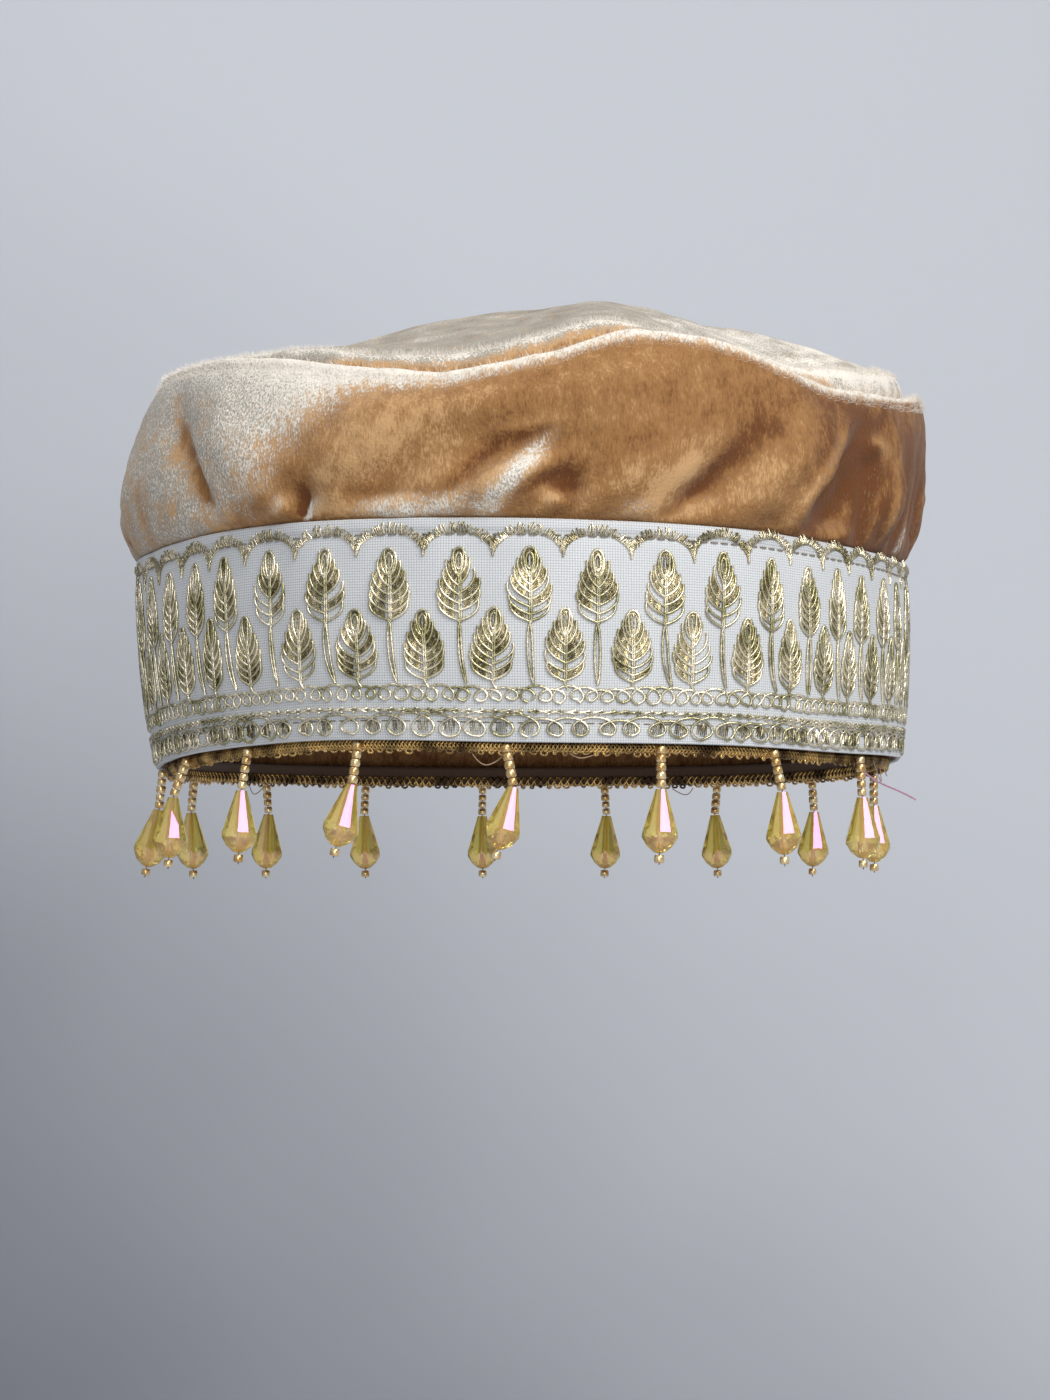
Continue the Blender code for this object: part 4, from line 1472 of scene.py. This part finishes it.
def stitch_line(line):
    """Machine stitches: short strands with a gap, each dipping into the cloth at its ends."""
    around = 2 * math.pi * FLAT_RADIUS
    count = round(around / (STITCH_LENGTH + STITCH_GAP))
    strands = []
    for stitch in range(count):
        start = stitch * around / count
        flat = [(start + STITCH_LENGTH * s, line.height) for s in (0.0, 0.25, 0.75, 1.0)]
        points = lay(flat, 0.0, line.lift)
        ends = lay(flat, 0.0, -0.15)
        points[0], points[3] = ends[0], ends[3]
        strands.append(Strand(points, 1.0))
    return strands


# The braid inside the rim


def braid_radius():
    return RIM_RADIUS - BAND_THICKNESS - VELVET_THICKNESS - 2 * SEWN_GAP


def on_braid(bearing, lift, out):
    """A point on the braid's outer face, from its height over the band's lower edge."""
    return place(bearing, braid_radius() + out, band_height(bearing, 0.0) + lift)


def make_braid_tape(material):
    bearing = all_bearings(RIBBON_SEGMENTS)
    lifts = np.linspace(-BRAID_BELOW + LOOP_DEPTH, BRAID_ABOVE, 7)
    obj = ring_mesh("braid_tape", [on_braid(bearing, lift, 0.0) for lift in lifts], material)
    thicken(obj, BRAID_THICKNESS)
    return obj


def plaited_strand(phase, out, swell):
    """One strand of the plait, all round, on the braid's outer or inner face."""
    steps = 8
    points = []
    for step in range(PLAITS * steps + 1):
        t = 2 * math.pi * step / steps + phase
        lift = -0.7 * MM + 1.1 * MM * math.sin(t + 0.2 * math.sin(3 * t))
        points.append(on_braid(360.0 * step / (PLAITS * steps), lift, out + swell * math.cos(2 * t)))
    return Strand(points, 1.0)


def braid_edge(rng):
    """One thread in small loops along the braid's lower edge."""
    points = []
    for loop in range(BRAID_LOOPS):
        size = rng.uniform(0.75, 1.3)
        sag = rng.uniform(-0.25, 0.35) * MM
        for step in range(9):
            t = 2 * math.pi * step / 9
            swing = math.degrees(1.1 * MM / braid_radius()) * size * math.sin(t)
            bearing = 360.0 * (loop + step / 9) / BRAID_LOOPS + swing
            lift = -BRAID_BELOW + 0.6 * MM + sag + 0.6 * MM * size * math.cos(t)
            points.append(on_braid(bearing, lift, 0.2 * MM * math.sin(2 * t)))
    return Strand(points, 0.9)


def braid_strands(rng):
    """Plaited strands over both faces of the tape, and the loops of its lower edge."""
    inner = -BRAID_THICKNESS - 0.2 * MM
    strands = [plaited_strand(turn * math.pi / 2, 0.32 * MM, 0.28 * MM) for turn in range(4)]
    strands += [plaited_strand(turn * math.pi, inner, -0.2 * MM) for turn in range(2)]
    return [*strands, braid_edge(rng)]


def loose_threads():
    """Short ends of sewing thread that sag from the braid."""
    strands = []
    for loose in LOOSE_THREADS:
        points = []
        for share in np.linspace(0.0, 1.0, 14):
            bearing = loose.bearing + math.degrees(loose.reach * share / RIM_RADIUS)
            lift = loose.lift + loose.drop * math.sin(math.pi * share) - 0.15 * MM * math.sin(7 * share)
            points.append(on_braid(bearing, lift, 0.7 * MM + 0.8 * MM * math.sin(4 * share)))
        strands.append(Strand(points, 1.0))
    return strands


def thread_end():
    """A mauve end of thread that sticks out below the rim at the right."""
    points = []
    for share in np.linspace(0.0, 1.0, 14):
        lift = -1.5 * MM - 9.5 * MM * share - 0.6 * MM * math.sin(5 * share)
        points.append(on_braid(60.5 + 6.5 * share, lift, 11.0 * MM * share**1.3))
    return Strand(points, 1.0)


# Drops


def hanging(lean):
    angle = math.radians(lean)
    return Vector((math.sin(angle), 0.0, -math.cos(angle)))


def all_drops():
    """The front's drops, then those at the back in equal steps."""
    drops = list(FRONT_DROPS)
    for step in range(BACK_COUNT):
        sway = BACK_LEAN * math.sin(2.4 * step)
        drops.append(Drop(BACK_START + step * BACK_STEP, sway, -0.5 * sway))
    return drops


Hanger = namedtuple("Hanger", "top bend string_axis bead_axis bead_top end_top")


def hang(drop):
    """Where a drop's string starts, bends and ends."""
    radius = braid_radius() + SEWN_GAP + 1.05 * SEED_RADIUS
    string_axis, bead_axis = hanging(drop.string), hanging(drop.bead)
    top = Vector(place(drop.bearing, radius, band_height(drop.bearing, 0.0) - SEWN_GAP))
    bend = top + string_axis * (SEED_COUNT * SEED_PITCH)
    bead_top = bend + bead_axis * SEWN_GAP
    end_top = bead_top + bead_axis * (BEAD_LENGTH + SEWN_GAP)
    return Hanger(top, bend, string_axis, bead_axis, bead_top, end_top)


def facet_ring(centre, axis, radius, turn):
    sideways = axis.cross(Vector((0.0, 1.0, 0.0))).normalized()
    towards = axis.cross(sideways).normalized()
    points = []
    for side in range(DROP_SIDES):
        angle = 2 * math.pi * (side + turn) / DROP_SIDES
        points.append(centre + radius * (math.cos(angle) * sideways + math.sin(angle) * towards))
    return points


def make_drop(number, hanger, material):
    """A bored glass drop: long flat facets, a staggered girdle and a low point."""
    work = bmesh.new()
    loops = []
    for cut in DROP_CUT:
        centre = hanger.bead_top + hanger.bead_axis * cut.along
        twist = 0.54 + 0.09 * math.sin(2.1 * number)
        ring = facet_ring(centre, hanger.bead_axis, cut.radius, cut.turn + twist)
        loops.append([work.verts.new(point) for point in ring])
    turns = [cut.turn for cut in DROP_CUT]
    for row, upper in enumerate(loops):
        lower = loops[(row + 1) % len(loops)]
        step = turns[(row + 1) % len(turns)] - turns[row]
        for side in range(DROP_SIDES):
            beside = (side + 1) % DROP_SIDES
            before = (side - 1) % DROP_SIDES
            if step == 0.0:
                work.faces.new((upper[side], upper[beside], lower[beside], lower[side]))
            elif step > 0.0:
                work.faces.new((upper[side], upper[beside], lower[side]))
                work.faces.new((upper[side], lower[side], lower[before]))
            else:
                work.faces.new((upper[side], upper[beside], lower[beside]))
                work.faces.new((upper[side], lower[beside], lower[side]))
    bmesh.ops.recalc_face_normals(work, faces=work.faces)
    mesh = bpy.data.meshes.new(f"drop_{number:02d}")
    work.to_mesh(mesh)
    work.free()
    mesh.materials.append(material)
    return add_object(f"drop_{number:02d}", mesh)


def seed_shape():
    """One seed bead: a short bored ring with round edges."""
    sides, rows = 14, 10
    mesh = bpy.data.meshes.new("seed_shape")
    points, faces = [], []
    for side in range(sides):
        angle = 2 * math.pi * side / sides
        for row in range(rows):
            t = 2 * math.pi * row / rows
            out = math.copysign(abs(math.cos(t)) ** 0.6, math.cos(t))
            rise = math.copysign(abs(math.sin(t)) ** 0.8, math.sin(t))
            radius = SEED_RADIUS * (0.68 + 0.32 * out)
            points.append((radius * math.cos(angle), radius * math.sin(angle), 0.49 * SEED_PITCH * rise))
            first, second = side * rows, (side + 1) % sides * rows
            above = (row + 1) % rows
            faces.append((first + row, second + row, second + above, first + above))
    mesh.from_pydata(points, [], faces)
    mesh.shade_smooth()
    return add_object("seed_shape", mesh)


def make_seed_beads(hangers, tree, material):
    places, axes = [], []
    for hanger in hangers:
        for seed in range(SEED_COUNT):
            places.append(tuple(hanger.top + hanger.string_axis * SEED_PITCH * (seed + 0.5)))
            axes.append(tuple(hanger.string_axis))
        places.append(tuple(hanger.end_top + hanger.bead_axis * END_BEAD_LENGTH / 2))
        axes.append(tuple(hanger.bead_axis))
    shape = seed_shape()
    inputs = {"Bead": shape, "Least size": 0.9, "Greatest size": 1.03, "Seed": 4, "Material": material}
    piece = bake_tree("seed_beads", source_object("seed_places", places, axis=axes), tree, inputs)
    bpy.data.objects.remove(shape)
    return piece


def bead_threads(hangers):
    """The thread through each string, with its knot below the end bead."""
    strands = []
    for hanger in hangers:
        end = hanger.end_top + hanger.bead_axis * (END_BEAD_LENGTH + 0.3 * MM)
        strands.append(Strand([hanger.top, hanger.bend, hanger.bead_top, hanger.end_top, end], 1.0))
    return strands


# Stage


def make_stage():
    """A pale floor that curves up into a wall."""
    profile = [(FLOOR_FRONT, FLOOR_HEIGHT), (CORNER_START, FLOOR_HEIGHT)]
    for step in range(1, CORNER_STEPS + 1):
        angle = math.pi / 2 * step / CORNER_STEPS
        y = CORNER_START + CORNER_RADIUS * math.sin(angle)
        profile.append((y, FLOOR_HEIGHT + CORNER_RADIUS * (1 - math.cos(angle))))
    profile.append((CORNER_START + CORNER_RADIUS, WALL_TOP))
    points = [(x, y, z) for y, z in profile for x in (-STAGE_HALF_WIDTH, STAGE_HALF_WIDTH)]
    faces = [(2 * i, 2 * i + 1, 2 * i + 3, 2 * i + 2) for i in range(len(profile) - 1)]
    mesh = bpy.data.meshes.new("backdrop")
    mesh.from_pydata(points, [], faces)
    mesh.shade_smooth()
    mesh.materials.append(backdrop_material())
    add_object("backdrop", mesh)


def make_lights():
    for lamp in LAMPS:
        data = bpy.data.lights.new(lamp.name, "AREA")
        data.size = lamp.size
        data.energy = lamp.energy
        data.color = lamp.colour
        obj = add_object(lamp.name, data)
        obj.location = lamp.place
        direction = Vector(LAMP_TARGET) - Vector(lamp.place)
        obj.rotation_euler = direction.to_track_quat("-Z", "Y").to_euler()
    world = bpy.data.worlds.new("room")
    bpy.context.scene.world = world
    world.use_nodes = True
    background = world.node_tree.nodes["Background"]
    background.inputs["Color"].default_value = ROOM_COLOUR
    background.inputs["Strength"].default_value = ROOM_STRENGTH


def make_camera():
    data = bpy.data.cameras.new("camera")
    data.sensor_fit = "VERTICAL"
    data.sensor_height = SENSOR_HEIGHT
    data.lens = SENSOR_HEIGHT * FOCAL_PIXELS / PICTURE_HEIGHT
    camera = add_object("camera", data)
    camera.location = CAMERA_PLACE
    camera.rotation_euler = (math.radians(90 + CAMERA_PITCH), 0.0, 0.0)
    bpy.context.scene.camera = camera


def stand_for(piece, slot, *nodes):
    """Sets a piece on the cap and hides the solids that it stands for. The slot is not used."""
    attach(piece, "root")
    if nodes:
        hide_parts(*nodes)


def make_cloth(rng, grain, tips):
    """Velvet, its fringe of pile, and the ribbon."""
    velvet = velvet_material(grain)
    side, side_rim = make_velvet_side(velvet)
    top, top_rim = make_velvet_top(velvet)
    fringe = make_pile_fringe(rng, (side_rim, top_rim), fringe_tree(), tips)
    ribbon = make_ribbon(ribbon_material(grain))
    stand_for(side, "velvet", "crown_side")
    stand_for(top, "velvet", "crown_top")
    stand_for(fringe, "velvet")
    stand_for(ribbon, "ribbon", "band")


def make_embroidery(rng, tree, metal, cotton):
    """Leaves, loops, arches and machine stitches on the ribbon."""
    work = leaf_work(rng)
    gold, filling = metal["gold_thread"], metal["gold_filling"]
    loops = [loop_row(rng, UPPER_LOOPS), loop_row(rng, LOWER_LOOPS)]
    loops += [joining_line(rng, LOWER_LOOPS, phase) for phase in (0.0, math.pi)]
    looks = (
        ("tall_leaves", work["tall_leaves"], gold, LEAF_THREAD),
        ("low_leaves", work["low_leaves"], gold, LEAF_THREAD),
        ("tall_filling", work["tall_filling"], filling, FILLING_THREAD),
        ("low_filling", work["low_filling"], filling, FILLING_THREAD),
        ("loops", loops, gold, LEAF_THREAD),
        ("loop_filling", loop_fill(rng, LOWER_LOOPS), metal["gold_arches"], LOOP_FILLING_THREAD),
        ("arches", arch_work(rng), metal["gold_arches"], ARCH_THREAD),
    )
    for name, strands, material, look in looks:
        stand_for(thread_piece(name, strands, tree, material, look), "gold_braid")
    seams = [strand for line in STITCH_LINES for strand in stitch_line(line)]
    stand_for(thread_piece("band_stitches", seams, tree, cotton, MACHINE_THREAD), "ribbon")


def make_braid(rng, tree, ground, gold):
    """The braid's tape and its plaited thread."""
    stand_for(make_braid_tape(ground), "gold_braid", "braid")
    plait = thread_piece("braid_plait", braid_strands(rng), tree, gold, PLAIT_THREAD)
    stand_for(plait, "gold_braid")


def make_beads(hangers, grain):
    """The drops and their seed beads."""
    glass = drop_material(grain)
    for number, hanger in enumerate(hangers, start=1):
        stand_for(make_drop(number, hanger, glass), "drop_glass", f"bead_{number:02d}")
    seeds = make_seed_beads(hangers, bead_tree(), seed_material(grain))
    stand_for(seeds, "gold_seed", *[f"string_{number:02d}" for number in range(1, len(hangers) + 1)])


def make_threads(hangers, tree, plain):
    """The loose threads at the rim, and those that the beads hang on."""
    looks = (
        ("loose_threads", loose_threads(), "loose_thread", LOOSE_THREAD, "gold_braid"),
        ("thread_end", [thread_end()], "mauve_thread", END_THREAD, "gold_braid"),
        ("drop_threads", bead_threads(hangers), "sewing_thread", DROP_THREAD, "gold_seed"),
    )
    for name, strands, material, look, slot in looks:
        stand_for(thread_piece(name, strands, tree, plain[material], look), slot)


def main():
    rng = random.Random(7)
    grain = soft_grain_group()
    metal = {name: metal_thread_material(name, grain, *look) for name, look in METAL_THREADS.items()}
    plain = {name: plain_thread_material(name, grain, *look) for name, look in PLAIN_THREADS.items()}
    tree = thread_tree()
    hangers = [hang(drop) for drop in all_drops()]
    make_cloth(rng, grain, plain["pile_tips"])
    make_embroidery(rng, tree, metal, plain["sewing_thread"])
    make_braid(rng, tree, plain["braid_ground"], metal["gold_braid"])
    make_beads(hangers, grain)
    make_threads(hangers, tree, plain)
    make_stage()
    make_lights()
    make_camera()
    bpy.context.scene.view_settings.view_transform = "Standard"


main()
bpy.context.view_layer.update()
